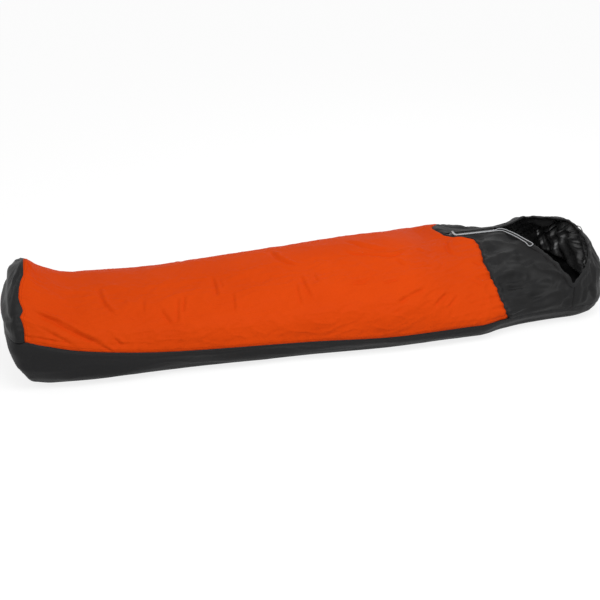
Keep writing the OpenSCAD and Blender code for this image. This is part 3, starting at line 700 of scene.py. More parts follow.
def folds_over(place, folds, scale=(1.0, 1.0)):
    """The heights of several folds added up, their widths and heights in mm scaled."""
    total = np.zeros(place.shape[:-1])
    for path, width, height in folds:
        total += fold(place, path, scale[0] * width / 1000, scale[1] * height / 1000)
    return total


def puckers(run, depth, seed, size, height, reach):
    """Gathers beside a seam: ripples and longer ridges along the run that fade with the distance from the
    edge and vanish on it."""
    place = np.stack([run, PUCKER_FAN * depth], -1)
    soft = PUCKER_SOFT * ripples(place, (size, 4 * size), seed)
    sharp = PUCKER_SHARP * ridges(place, (1.3 * size, 6 * size), seed + 1)
    return height * (soft + sharp) * np.exp(-depth / reach) * ease(depth / PUCKER_EDGE)


def soften(height, passes=3):
    """A grid of heights averaged with its neighbours, one to two to one each way, so that sharp crests
    don't step."""
    for _ in range(passes):
        wide = np.pad(height, 1, mode="edge")
        rows = (wide[:-2] + 2 * wide[1:-1] + wide[2:]) / 4
        height = (rows[:, :-2] + 2 * rows[:, 1:-1] + rows[:, 2:]) / 4
    return height


def seam_groove(depth, sink=0.0022, width=0.0055):
    """The cloth dips into a seam and stands a little proud beside it: one bell down and a wider one up."""
    return -sink * bell(depth, width) + 0.35 * sink * bell(depth - 3 * width, 1.6 * width)


def settle(piece, node, body="sack"):
    """A finished piece stands for its CAD node and rides on its body."""
    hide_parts(node)
    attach(piece, body)


# Cords: the routes of the part's source, in metres; the loop's points are in mm from the throat or knot

PULL_CORD_D, DRAWCORD_D = 0.003, 0.003
CORD_SIDES, KNOT_SIDES, WIRE_SIDES = 12, 10, 8
PULL_POINTS, TAIL_POINTS = 440, 90
BAIL = np.array([0.5595, 0.110, 0.2451])
KNOT_FACE = BAIL + [0, -0.0106, 0]
THROAT = np.array([0.735, 0.110, 0.240])
OUTWARD_OFF, RETURN_OFF, CORD_LIFT = 0.0165, 0.022, 0.0018
KNOT_OUT = [[2.1, -0.4, 0], [2.8, -4.4, -0.2], [5.5, -7, -1], [12, -7.6, -3]]
THROAT_LOOP = [
    [-13, -16, 2.2], [-4, -14.5, 3.8], [5, -13.5, 5.8], [14, -19, 6.6], [23.5, -29, 7], [33, -53, 7.9],
    [42, -78, 8.4], [51, -111.5, 8.2], [60, -145, 7.6], [65.5, -162, 7.1], [67, -170, 6.7], [64.5, -177, 6.1],
    [58.5, -179.5, 3.4], [53.5, -175.5, 0], [51.5, -167, 0.6], [50.8, -156, 1.9], [50, -146, 3.1],
    [42, -113, 3.9], [33, -80, 4], [24.5, -56, 3.4], [15, -32.5, 2.7], [6, -24, 2.1], [-5, -22, 1.9]]
KNOT_BACK = [[7, -11.6, -2.8], [1.5, -9.2, -1.6], [-1.8, -5, -0.3], [-2.1, -0.4, 0]]


def cord_run(shares, off):
    """Points level beside the throat, at shares of the way from the bail to the end of the zip."""
    return [[mix(BAIL[0], THROAT[0], k), THROAT[1] - off, THROAT[2] + CORD_LIFT] for k in shares]


def wraps(centre, axis, side, radius, turns, pitch, count=60):
    """A helix round an axis: radius times cosine and sine of the turn, rising by the pitch each turn."""
    turn = np.linspace(0, turns * 2 * np.pi, count)[:, None]
    third = np.cross(axis, side)
    rise = (turn / (2 * np.pi) - turns / 2) * pitch
    return centre + radius * (np.cos(turn) * side + np.sin(turn) * third) + rise * axis


pull_route = np.vstack([KNOT_FACE + np.array(KNOT_OUT) / 1000, cord_run((0.2, 0.4, 0.6, 0.8), OUTWARD_OFF),
                        THROAT + np.array(THROAT_LOOP) / 1000, cord_run((0.8, 0.6, 0.4, 0.2), RETURN_OFF),
                        KNOT_FACE + np.array(KNOT_BACK) / 1000])
pull_line = evenly(catmull(pull_route), PULL_POINTS)
pull_cord = make_tubes("zip_pull_cord_braid", [pull_line], PULL_CORD_D / 2, CORD_SIDES, CORD_GREY)
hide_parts("zip_pull_cord")
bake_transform(pull_cord)

# The pull cord's knot: wraps round both strands, the strands in them, and the loop through the bail

X, Y, Z = np.eye(3)
BAIL_LOOP = np.array([[0, -4, 0], [0, -1.2, 0.1], [0, 1.2, 0.1], [0, 4, 0]]) / 1000
knot_lines = [
    wraps(BAIL + [0, -0.0062, 0], -Y, Z, radius=0.0030, turns=2.6, pitch=0.0027),
    np.linspace(BAIL + [0.0014, -0.0104, 0], BAIL + [0, -0.0026, 0], 12),
    np.linspace(BAIL + [-0.0014, -0.0104, 0], BAIL + [0, -0.0026, 0], 12),
    catmull(BAIL + BAIL_LOOP, 6),
    wraps(BAIL + [0, 0.0036, 0], Y, X, radius=0.0022, turns=1.5, pitch=0.0016),
]
pull_knot = make_tubes("zip_pull_knot", knot_lines, PULL_CORD_D / 2, KNOT_SIDES, CORD_GREY)
settle(pull_knot, "pull_cord_knot", "zip_slider")

# The drawcord's tail on the back of the crown, in the lock's own directions

LOCK_SEAT = np.array([1.04612, 0, 0.20724])
LOCK_LEAN = math.radians(13.7533)
LOCK_ACROSS = np.array([0, 1.0, 0])
LOCK_UP = np.array([-math.sin(LOCK_LEAN), 0, math.cos(LOCK_LEAN)])
LOCK_IN = np.array([-math.cos(LOCK_LEAN), 0, -math.sin(LOCK_LEAN)])
LOCK_OFF = 0.0076
LOCK_D = 0.014
TAIL_END = 0.022


def on_crown(points):
    """Points given as across, into the cloth and up the slope, carried to the lock's seat."""
    p = np.asarray(points, float)
    return LOCK_SEAT + p[:, :1] * LOCK_ACROSS + p[:, 1:2] * LOCK_IN + p[:, 2:] * LOCK_UP


eyelet_low, eyelet_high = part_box("cord_eyelet")
eyelet_at = (np.array(eyelet_low) + np.array(eyelet_high)) / 2 - LOCK_SEAT
eyelet_in = float(eyelet_at @ LOCK_IN) + 0.0005
channel_up = float(eyelet_at @ LOCK_UP)
over_in = eyelet_in - 0.0075
tail_route = on_crown([
    [0, eyelet_in - 0.0003, channel_up],
    [0, eyelet_in - 0.003, channel_up],
    [0, eyelet_in - 0.006, channel_up - 0.0015],
    [0, over_in, channel_up - 0.005],
    [0, mix(over_in, -LOCK_OFF, 0.3), channel_up - 0.011],
    [0, mix(over_in, -LOCK_OFF, 0.85), LOCK_D / 2 + 0.006],
    [0, -LOCK_OFF, LOCK_D / 2 + 0.001],
    [0, -LOCK_OFF, 0],
    [0, -LOCK_OFF, -LOCK_D / 2],
    [0, -LOCK_OFF, -TAIL_END]])
tail_line = evenly(catmull(tail_route), TAIL_POINTS)
tail = make_tubes("drawcord_tail_braid", [tail_line], DRAWCORD_D / 2, CORD_SIDES, CORD_BLACK)
settle(tail, "drawcord_tail")
tail_knot_at = on_crown([[0, -LOCK_OFF, -TAIL_END - 0.0032]])[0]
tail_knot_lines = [
    wraps(tail_knot_at, LOCK_UP, LOCK_ACROSS, radius=0.0024, turns=2.2, pitch=0.0022),
    np.linspace(tail_knot_at + 0.0036 * LOCK_UP, tail_knot_at - 0.0038 * LOCK_UP, 12),
]
tail_knot = make_tubes("drawcord_tail_knot", tail_knot_lines, DRAWCORD_D / 2, KNOT_SIDES, CORD_BLACK)
settle(tail_knot, "drawcord_knot")

# The lock's spring, which on the real lock flattens as the button is pressed: here a coil with flat ends at
# one fixed length in the CAD spring's box

SPRING_WIRE, SPRING_TURNS, SPRING_FLAT, SPRING_POINTS = 0.0007, 3, 0.12, 120
spring_low, spring_high = (np.array(c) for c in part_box("cord_lock_spring"))
spring_mid = (spring_low + spring_high) / 2
spring_r = (spring_high[2] - spring_low[2]) / 2 - SPRING_WIRE / 2
spring_share = np.linspace(0, 1, SPRING_POINTS)
spring_turn = spring_share * SPRING_TURNS * 2 * np.pi
climb = np.clip((spring_share - SPRING_FLAT) / (1 - 2 * SPRING_FLAT), 0, 1)
spring_line = np.stack([
    spring_mid[0] + spring_r * np.cos(spring_turn),
    mix(spring_low[1] + SPRING_WIRE / 2, spring_high[1] - SPRING_WIRE / 2, climb),
    spring_mid[2] + spring_r * np.sin(spring_turn)], -1)
spring = make_tubes("lock_spring_coil", [spring_line], SPRING_WIRE / 2, WIRE_SIDES, SPRING_STEEL)
settle(spring, "cord_lock_spring")
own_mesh(spring)

# Fold lines on the top panel as length along the sack and girth from the crest, with width and height in mm

TOP_FOLDS = [
    ([(-0.748, -0.027), (-0.733, -0.118), (-0.698, -0.188)], 9, 2.6),
    ([(-0.949, -0.190), (-0.902, -0.196), (-0.855, -0.215), (-0.779, -0.260), (-0.730, -0.291)], 10, 3.2),
    ([(-0.957, -0.180), (-0.914, -0.189), (-0.863, -0.199), (-0.807, -0.235)], 7, 1.8),
    ([(-0.940, -0.235), (-0.890, -0.246), (-0.830, -0.270)], 9, 1.6),
    ([(-0.716, -0.254), (-0.703, -0.271), (-0.690, -0.286)], 6, 2.0),
    ([(-0.760, -0.275), (-0.735, -0.292), (-0.715, -0.312)], 6, 1.8),
    ([(-0.560, -0.173), (-0.544, -0.208), (-0.528, -0.243)], 8, 1.8),
    ([(-0.494, -0.129), (-0.505, -0.192), (-0.512, -0.245)], 7, 1.7),
    ([(-0.470, -0.120), (-0.482, -0.171), (-0.489, -0.213)], 7, 1.7),
    ([(-0.608, -0.110), (-0.611, -0.157), (-0.615, -0.198)], 7, 1.0),
    ([(-0.369, -0.037), (-0.368, -0.116), (-0.368, -0.167)], 10, 2.4),
    ([(-0.350, -0.060), (-0.345, -0.100), (-0.347, -0.130)], 7, 1.4),
    ([(-0.313, -0.139), (-0.320, -0.199), (-0.323, -0.248)], 7, 1.6),
    ([(-0.145, 0.100), (-0.123, 0.010), (-0.067, -0.068)], 11, 3.0),
    ([(0.119, 0.080), (0.198, -0.004), (0.265, -0.036)], 11, 2.6),
    ([(0.092, 0.015), (0.150, -0.055), (0.218, -0.088), (0.286, -0.098), (0.354, -0.041)], 10, 3.0),
    ([(0.264, -0.119), (0.280, -0.148), (0.292, -0.172)], 8, 2.6),
    ([(0.182, -0.238), (0.222, -0.234), (0.253, -0.234)], 6, 1.8),
    ([(0.064, -0.210), (0.127, -0.211), (0.174, -0.183)], 9, 1.8),
    ([(0.308, -0.189), (0.351, -0.197), (0.398, -0.212)], 7, 1.6),
    ([(0.300, -0.172), (0.350, -0.178), (0.390, -0.190)], 6, 1.2),
    ([(0.202, -0.330), (0.271, -0.305), (0.345, -0.289)], 9, 2.4),
    ([(0.344, -0.369), (0.377, -0.355), (0.411, -0.350)], 8, 2.2),
    ([(0.390, -0.400), (0.425, -0.385), (0.455, -0.372)], 8, 1.8),
    ([(-0.077, -0.106), (-0.073, -0.199), (-0.056, -0.259)], 8, 2.0),
    ([(-0.101, -0.158), (-0.104, -0.218), (-0.103, -0.268)], 8, 2.0),
    ([(-0.030, -0.118), (-0.030, -0.153), (-0.026, -0.183)], 7, 1.6),
    ([(0.556, -0.256), (0.571, -0.270), (0.588, -0.289)], 6, 2.0),
    ([(0.518, -0.332), (0.535, -0.353), (0.556, -0.376)], 7, 2.0),
    ([(0.514, -0.075), (0.496, -0.151), (0.508, -0.197)], 10, 3.0),
    ([(0.367, -0.082), (0.382, -0.100), (0.398, -0.122)], 7, 1.8),
]
TOP_FOLD_SCALE, FAR_FOLD_SCALE, HOOD_FOLD_SCALE = (0.75, 2.3), (0.8, 0.45), (0.8, 1.7)

# The far side, which the photograph doesn't show: every other fold, turned half round the sack's middle

FAR_FOLDS = [([(0.05 - x, 0.012 - girth) for x, girth in path], width, height)
             for path, width, height in TOP_FOLDS[3::2]]

# Folds of the near hood panel as length along the sack and girth from the tub's edge, and the far one's

HOOD_FOLDS = [
    ([(0.628, 0.129), (0.672, 0.113), (0.735, 0.102)], 9, 5.0),
    ([(0.633, 0.156), (0.658, 0.156), (0.700, 0.160)], 8, 3.0),
    ([(0.668, 0.300), (0.652, 0.250), (0.640, 0.185)], 16, 3.0),
    ([(0.720, 0.270), (0.690, 0.225), (0.668, 0.175)], 15, 2.2),
    ([(0.806, 0.206), (0.772, 0.198), (0.730, 0.190)], 8, 3.0),
    ([(0.645, 0.081), (0.712, 0.071), (0.779, 0.063)], 9, 2.4),
    ([(0.640, 0.050), (0.720, 0.040), (0.800, 0.036)], 8, 1.8),
    ([(0.836, 0.150), (0.820, 0.110), (0.801, 0.070)], 8, 2.6),
    ([(0.860, 0.100), (0.845, 0.070), (0.840, 0.040)], 7, 2.0),
]
FAR_HOOD_FOLDS = [([(x, girth - 0.05) for x, girth in path], width, height)
                  for path, width, height in HOOD_FOLDS[2:]]

# Folds of the toe and crown as length round the end and girth from the tub's edge

TOE_FOLDS = [
    ([(0.120, 0.084), (0.030, 0.074), (-0.050, 0.066)], 14, 5.0),
    ([(-0.095, 0.043), (-0.156, 0.062), (-0.207, 0.076), (-0.252, 0.097)], 9, 4.0),
    ([(0.230, 0.060), (0.170, 0.052), (0.110, 0.050)], 10, 2.5),
]
CROWN_FOLDS = [
    ([(0.070, 0.085), (0.080, 0.045), (0.100, 0.012)], 9, 5.0),
    ([(0.045, 0.075), (0.040, 0.040), (0.030, 0.012)], 8, 3.0),
    ([(0.160, 0.120), (0.180, 0.070), (0.210, 0.030)], 12, 4.0),
    ([(0.300, 0.150), (0.330, 0.090), (0.340, 0.030)], 12, 4.0),
    ([(0.520, 0.130), (0.480, 0.090), (0.450, 0.030)], 11, 4.0),
]

# Panels: grids whose first parameter runs along the sack or round it, and the second across or up it

# Edges of a grid: first and last line of the first parameter, lowest and highest of the second
FIRST, LAST, LOW, HIGH = range(4)
ALL_EDGES = (FIRST, LAST, LOW, HIGH)
CLOTH_WALL, TUB_WALL, LINING_WALL, TAPE_WALL = 0.0009, 0.0012, 0.0007, 0.0008
HOOD_GROOVE = (0.0042, 0.0050)


class Panel:
    """A cloth panel on a grid: points, normals, a chart of length and girth, and distances to its edges."""

    def __init__(self, points, outward, chart):
        self.points = points
        self.normals = normals_of(points) * outward
        self.chart = chart
        first, second = lengths(points, 0), lengths(points, 1)
        self.runs = (second, second, first, first)
        self.depths = (first, first[-1:] - first, second, second[:, -1:] - second)
        self.height = np.zeros(points.shape[:2])

    def clear_of(self, *edges, reach):
        """Rises from 0 on the named edges to 1 at the reach, to keep seams closed."""
        return np.prod([ease(self.depths[k] / reach) for k in edges], axis=0)

    def seam_map(self, *edges):
        """Run along, and distance from, the nearest sewn edge."""
        depth = np.stack([np.broadcast_to(self.depths[k], self.height.shape) for k in edges], -1)
        run = np.stack([np.broadcast_to(self.runs[k], self.height.shape) for k in edges], -1)
        k = depth.argmin(-1)[..., None]
        return np.concatenate([np.take_along_axis(run, k, -1), np.take_along_axis(depth, k, -1)], -1)

    def shaped(self):
        """The points moved out along the normals by the heights."""
        return self.points + self.normals * self.height[..., None]

    def make(self, name, material, sewn, flip=False, wall=CLOTH_WALL, merge=False):
        """The panel as a Blender piece with maps for its weave and its stitching."""
        maps = {"cloth": self.chart, "seam": self.seam_map(*sewn)}
        faces = grid_faces(*self.height.shape)
        return make_piece(name, self.shaped(), faces, material, maps, flip, wall, merge)


def chart_of(first, points):
    """A chart of one length per first line, the same all the way up it, and the girth from the tub's edge."""
    return np.stack([np.broadcast_to(first, points.shape[:2]), lengths(points, 1)], -1)


def declare_cut(points):
    """The width of the longest line across a grid and the mean length of its lines along it, worked out and
    not used further."""
    width, length = float(lengths(points, 1).max()), float(lengths(points, 0)[-1].mean())


# The foot seam wanders towards the foot: how far at heights on the seam, on the near and the far side

WANDER_UP = [0.180, 0.207, 0.227, 0.245, 0.258, 0.272, 0.280, 0.291, 0.303, 0.320, 0.330, 0.336, 0.340]
WANDER_NEAR = np.array([17, 14, 13, 16, 21, 10, 12, 17, 20, 16, 10, 1, 0]) / 1000
WANDER_FAR = np.array([14, 13, 15, 12, 8, 11, 14, 12, 9, 9, 6, 1, 0]) / 1000
WANDER_REACH = 0.045
PEAK_UP, PEAK_LENGTH, PEAK_WIDTH = 0.017, 0.026, 0.06


def foot_seam_shift(points, depth):
    """The points with the foot seam's wander, fading off with the distance from the seam, and with the small
    peak that stands on the seam's top."""
    x, y, z = np.moveaxis(points, -1, 0)
    shift = np.where(y < 0, np.interp(z, WANDER_UP, WANDER_NEAR), np.interp(z, WANDER_UP, WANDER_FAR))
    peak_up = PEAK_UP * bell(x - X_FOOT, PEAK_LENGTH) * bell(y, PEAK_WIDTH)
    return np.stack([x - shift * bell(depth, WANDER_REACH), y, z + peak_up], -1)


# The orange top panel, on a finer grid on the near side

TOP_ROWS, NEAR_COLUMNS, FAR_COLUMNS = 301, 106, 41
CREST_AT = [-0.94, -0.84, -0.74, -0.60, -0.42, 0.28, 0.37, 0.45, 0.51]
CREST_LIFT = [0, 0.008, 0.006, 0.002, 0.013, 0.013, 0, -0.019, -0.004]
CREST_OFF, CREST_WIDTH = 0.08, 0.13
BROW_UP, BROW_BEHIND, BROW_LENGTH, BROW_WIDTH = 0.011, 0.012, 0.018, 0.08
FAR_SLACK = 0.45

u = np.linspace(0, 1, TOP_ROWS)[:, None]
across = np.concatenate([np.linspace(-1, 0, NEAR_COLUMNS), np.linspace(0, 1, FAR_COLUMNS)[1:]])[None]
points = body_points(u, across)
points = foot_seam_shift(points, lengths(points, 0))
girth = lengths(points, 1)
girth = girth - girth[:, NEAR_COLUMNS - 1:NEAR_COLUMNS]
x = points[..., 0]
top = Panel(points, 1, np.stack([x, girth], -1))
slack = top.clear_of(*ALL_EDGES, reach=0.03) * mix(1, FAR_SLACK, ease((girth + 0.06) / 0.08))
top.height += slack * crumple(
    top.chart,
    soft=[(0.0018, (0.42, 0.16), 3), (0.0009, (0.13, 0.09), 5), (0.0005, (0.05, 0.035), 9)],
    sharp=[(0.0021, (0.13, 0.065), 7), (0.0010, (0.075, 0.032), 10)])
edges_clear = top.clear_of(*ALL_EDGES, reach=0.012)
top.height += edges_clear * folds_over(top.chart, TOP_FOLDS, TOP_FOLD_SCALE)
top.height += edges_clear * folds_over(top.chart, FAR_FOLDS, FAR_FOLD_SCALE)
top.height += soften(puckers(girth, top.depths[FIRST], 11, size=0.022, height=0.0042, reach=0.036), 1)
top.height += soften(puckers(girth, top.depths[LAST], 13, size=0.022, height=0.0066, reach=0.046), 1)
top.height += seam_groove(top.depths[LAST], *HOOD_GROOVE)
for edge, seed in ((LOW, 17), (HIGH, 19)):
    top.height += puckers(x, top.depths[edge], seed, size=0.030, height=0.0013, reach=0.024)
    top.height += seam_groove(top.depths[edge])

# What fills the sack lifts or lowers the crest along it, and the cloth stands up behind the toe's peak

lift = np.interp(x, CREST_AT, CREST_LIFT)
top.height += lift * bell(girth - CREST_OFF, CREST_WIDTH) * top.clear_of(FIRST, LAST, reach=0.05)
brow = BROW_UP * bell(x - X_FOOT - BROW_BEHIND, BROW_LENGTH) * bell(girth, BROW_WIDTH)
top.height += brow * top.clear_of(FIRST, reach=0.008)

# A sewn line above the near seam at the foot, with short gathers beside it

SEWN_LINE_UP, SEWN_LINE_TO, SEWN_LINE_SINK, SEWN_LINE_WIDTH = 0.022, -0.80, 0.0022, 0.0035
GATHER_UP, GATHER_REACH = 0.0013, 0.012
beside = top.depths[LOW] - SEWN_LINE_UP
by_the_foot = ease((SEWN_LINE_TO - x) / 0.06) * ease(top.depths[FIRST] / 0.012)
drawn = ripples(np.stack([x - 0.6 * beside, beside], -1), (0.017, 0.2), 21)
gathered = GATHER_UP * drawn * bell(beside, GATHER_REACH)
top.height += by_the_foot * (gathered - SEWN_LINE_SINK * bell(beside, SEWN_LINE_WIDTH))
top_piece = top.make("top_shell", SHELL_ORANGE, ALL_EDGES)
settle(top_piece, "top_panel")
declare_cut(points)

# The foot panel, which swells between the tub and its top point

TOE_ROWS, TOE_COLUMNS = 151, 71
LENGTH_PER_DEGREE = 0.003
TOE_SWELL, TOE_SWELL_TO = 0.006, 0.2
turn = np.linspace(-90, 90, TOE_ROWS)[:, None]
t = np.linspace(0, 1, TOE_COLUMNS)[None]
points = toe_points(turn, t)
round_toe = lengths(points, 0)
points = foot_seam_shift(points, np.minimum(round_toe, round_toe[-1:] - round_toe))
toe = Panel(points, -1, chart_of(turn * LENGTH_PER_DEGREE, points))
girth = toe.depths[LOW]
off_pole = ease(toe.depths[HIGH] / 0.05)
swell = TOE_SWELL * ease(girth / 0.05) * ease((TOE_SWELL_TO - girth) / 0.08)
toe.height += toe.clear_of(FIRST, LAST, LOW, reach=0.025) * off_pole * (swell + crumple(
    toe.chart, soft=[(0.0018, (0.16, 0.10), 23)], sharp=[(0.0006, (0.09, 0.12), 25)]))
toe.height += toe.clear_of(FIRST, LAST, LOW, reach=0.01) * off_pole * folds_over(toe.chart, TOE_FOLDS)
seam_off = np.minimum(toe.depths[FIRST], toe.depths[LAST])
toe.height += off_pole * puckers(girth, seam_off, 27, size=0.02, height=0.0020, reach=0.02)
toe_piece = toe.make("foot_shell", SHELL_BLACK, (FIRST, LAST, LOW), flip=True, merge=True)
settle(toe_piece, "foot_panel")
declare_cut(points)

# The floor tub: a wall round the sack that rolls under to the flat floor

TUB_RING = [(NEAR, 170), ("crown", 120), (FAR, 170), ("toe", 100)]
WALL_STEPS, FLOOR_STEPS = 40, 8
SWELL_OUT, SWELL_Z, SWELL_TALL = 0.011, 0.075, 0.05
BULGE_OUT, BULGE_Z, BULGE_TALL = 0.009, 0.135, 0.045
CORNER_LIFT = 0.012


def crown_swell(points):
    """The low back of the head end stands fuller, most on the near side: a height by place alone, the same on
    the tub and on the crown."""
    x, y, z = np.moveaxis(points, -1, 0)
    round_back = ease((x - X_CROWN - 0.05) / 0.08) * (1 - ease((y - 0.02) / 0.12))
    return SWELL_OUT * round_back * bell(z - SWELL_Z, SWELL_TALL)


def tub_ring(k):
    """Round the tub from its top edge, 0, to the flat floor, 1: near side, crown, far side and toe."""
    parts = []
    for part, count in TUB_RING:
        s = np.linspace(0, 1, count, endpoint=False)[:, None]
        if part == "crown":
            parts.append(crown_point(mix(-90, 90, s), mix(tub_angle(X_CROWN), -90, k)))
        elif part == "toe":
            parts.append(toe_point(mix(90, -90, s), mix(tub_angle(X_FOOT), -90, k)))
        else:
            side_x = mix(X_FOOT, X_CROWN, s) if part == NEAR else mix(X_CROWN, X_FOOT, s)
            parts.append(side_point(part, side_x, mix(tub_angle(side_x), -90, k)))
    return np.concatenate(parts)


def over_floor(pairs):
    """A map of the wall carried on over the floor with its last pair."""
    return np.concatenate([pairs, np.repeat(pairs[:, -1:], FLOOR_STEPS, 1)], 1)


wall = tub_ring(np.linspace(0, 1, WALL_STEPS + 1)[None])
ring = np.concatenate([wall, wall[:1]])
x, z = ring[..., 0], ring[..., 2]
tub = Panel(ring, -1, chart_of(lengths(ring, 0)[:, :1], ring))
tub.normals[0] = tub.normals[-1] = unit(tub.normals[0] + tub.normals[-1])
lifted = ease(z / 0.035)
toe_bulge = BULGE_OUT * ease((X_FOOT - 0.02 - x) / 0.05) * bell(z - BULGE_Z, BULGE_TALL)
tub.height += tub.clear_of(LOW, reach=0.025) * lifted * (toe_bulge + crumple(
    ring, soft=[(0.0026, (0.30, 0.30, 0.07), 31)], sharp=[(0.0016, (0.20, 0.20, 0.05), 33)]))
tub.height += lifted * ease((x - X_FOOT) / 0.04) * puckers(
    tub.chart[..., 0], tub.depths[LOW], 35, size=0.026, height=0.0016, reach=0.02)
tub.height += lifted * crown_swell(ring)
off_ends = (1 - ease((x - 0.55) / 0.08)) * ease((x - X_FOOT - 0.005) / 0.04)
tub.height += lifted * off_ends * seam_groove(tub.depths[LOW])
tub_points = tub.shaped()[:-1]
tub_points[..., 2] = np.maximum(tub_points[..., 2], 0)

# The floor runs in from the wall to a line down its middle, and its corners at the foot lift a little

spine = np.zeros((len(wall), 1, 3))
spine[..., 0] = np.clip(wall[:, -1:, 0], X_FOOT + 0.1, X_CROWN - 0.05)
floor_share = np.linspace(0, 1, FLOOR_STEPS + 1)[None, 1:, None]
tub_all = np.concatenate([tub_points, mix(tub_points[:, -1:], spine, floor_share)], 1)
corner = ease((X_FOOT + 0.05 - tub_all[..., 0]) / 0.09) * ease((np.abs(tub_all[..., 1]) - 0.04) / 0.09)
tub_all[..., 2] += CORNER_LIFT * corner * (1 - ease(tub_all[..., 2] / 0.10))
tub_chart = over_floor(tub.chart[:-1])
tub_chart[:, -FLOOR_STEPS:, 1] += 0.2 * floor_share[..., 0]
tub_seam = over_floor(tub.seam_map(LOW)[:-1])
tub_maps = {"cloth": tub_chart.transpose(1, 0, 2), "seam": tub_seam.transpose(1, 0, 2)}
tub_faces = grid_faces(tub_all.shape[1], len(tub_all), wrap=True)
tub_piece = make_piece("tub_shell", tub_all.transpose(1, 0, 2), tub_faces, TUB_BLACK, tub_maps, wall=TUB_WALL,
                       merge=True)
settle(tub_piece, "floor_tub")
wall_height = np.median(lengths(wall, 1)[:, -1])

# The hood's side panels

HOOD_ROWS, HOOD_COLUMNS = 141, 141
SLIT_LEAST, FAR_RIM_MOST, CROWN_RIM_MOST = -0.0006, 0.0005, 0.0008
SINK_DEPTH, SINK_FROM, SINK_TO, SINK_REACH = 0.032, 0.615, 0.79, 0.09
CORD_TO, CORD_BELOW = 0.80, 0.025
u = np.linspace(0, 1, HOOD_ROWS)[:, None]
t = np.linspace(0, 1, HOOD_COLUMNS)[None]


def far_sink(x, up):
    """How far the far side sinks behind the slit, by the place along the sack and the distance from its
    edge."""
    by_length = ease((x - SINK_FROM) / 0.10) * (1 - ease((x - SINK_TO) / 0.085))
    by_depth = ease((up - 0.016) / 0.075) * bell(np.maximum(up - SINK_REACH, 0), SINK_REACH)
    return SINK_DEPTH * by_length * by_depth


def hood_side(side, seed):
    """A hood side panel with creases and gathers. The near one lies flat under the cord; the far one is held
    down along the rim and sinks behind the slit."""
    points = collar_points(side, u, t)
    x, girth = points[..., 0], lengths(points, 1)
    made = Panel(points, -side, np.stack([x, girth], -1))
    up = made.depths[HIGH]
    made.height += made.clear_of(*ALL_EDGES, reach=0.03) * crumple(
        made.chart,
        soft=[(0.0050, (0.19, 0.11), seed), (0.0007, (0.05, 0.04), seed + 2)],
        sharp=[(0.0052, (0.16, 0.08), seed + 1)])
    folds = HOOD_FOLDS if side == NEAR else FAR_HOOD_FOLDS
    made.height += made.clear_of(*ALL_EDGES, reach=0.012) * folds_over(made.chart, folds, HOOD_FOLD_SCALE)
    made.height += puckers(girth, made.depths[FIRST], seed + 3, size=0.020, height=0.0030, reach=0.030)
    open_rim = ease((mix(X_SHOULDER, X_CROWN, u) - X_THROAT - 0.01) / 0.04)
    made.height += open_rim * puckers(x - girth, up, seed + 4, size=0.024, height=0.0050, reach=0.045)
    slit_edge = (1 - ease((x - X_THROAT) / 0.02)) * (1 - ease((up - 0.020) / 0.02))
    made.height = mix(made.height, np.maximum(made.height, SLIT_LEAST), slit_edge)
    if side == NEAR:
        under_cord = (1 - ease((x - CORD_TO) / 0.04)) * (1 - ease((up - CORD_BELOW) / 0.02))
        made.height = mix(made.height, np.minimum(made.height, 0), under_cord)
    else:
        made.height = mix(np.minimum(made.height, FAR_RIM_MOST), made.height, ease(up / 0.10))
        made.height -= far_sink(x, up) * ease(made.depths[FIRST] / 0.04)
    made.height = soften(made.height)
    made.height += seam_groove(made.depths[FIRST], *HOOD_GROOVE) + 0.2 * seam_groove(made.depths[LAST])
    return made


for side, seed, name, node in [(NEAR, 41, "hood_near_shell", "hood_near_panel"),
                               (FAR, 51, "hood_far_shell", "hood_far_panel")]:
    hood = hood_side(side, seed)
    hood_piece = hood.make(name, SHELL_BLACK, (FIRST, LOW, HIGH), flip=side == FAR)
    settle(hood_piece, node)
    declare_cut(hood.points)

# The crown, plain round the cord lock

CROWN_ROWS, CROWN_COLUMNS = 181, 101
LOCK_CLEAR = 0.045
turn = np.linspace(-90, 90, CROWN_ROWS)[:, None]
t = np.linspace(0, 1, CROWN_COLUMNS)[None]
points = crown_points(turn, t)
crown = Panel(points, 1, chart_of(lengths(points, 0)[:, :1], points))
up = crown.depths[HIGH]
crown.height += crown.clear_of(*ALL_EDGES, reach=0.03) * crumple(
    crown.chart, soft=[(0.0030, (0.16, 0.13), 61)], sharp=[(0.0020, (0.12, 0.12), 63)])
crown.height += crown.clear_of(*ALL_EDGES, reach=0.012) * folds_over(crown.chart, CROWN_FOLDS)
crown.height += puckers(crown.chart[..., 0], up, 65, size=0.024, height=0.0030, reach=0.035)
lock_clear = 1 - bell(((points - LOCK_SEAT) ** 2).sum(-1), LOCK_CLEAR ** 2)
crown.height = lock_clear * mix(np.minimum(crown.height, CROWN_RIM_MOST), crown.height, ease(up / 0.08))
crown.height += crown_swell(points)
for edge in (FIRST, LAST):
    crown.height += 0.2 * seam_groove(crown.depths[edge])
crown_piece = crown.make("hood_crown_shell", SHELL_BLACK, (LOW, HIGH))
settle(crown_piece, "hood_crown")

# The lining: once round the inside of the hood, with slanting folds that run in from the rim

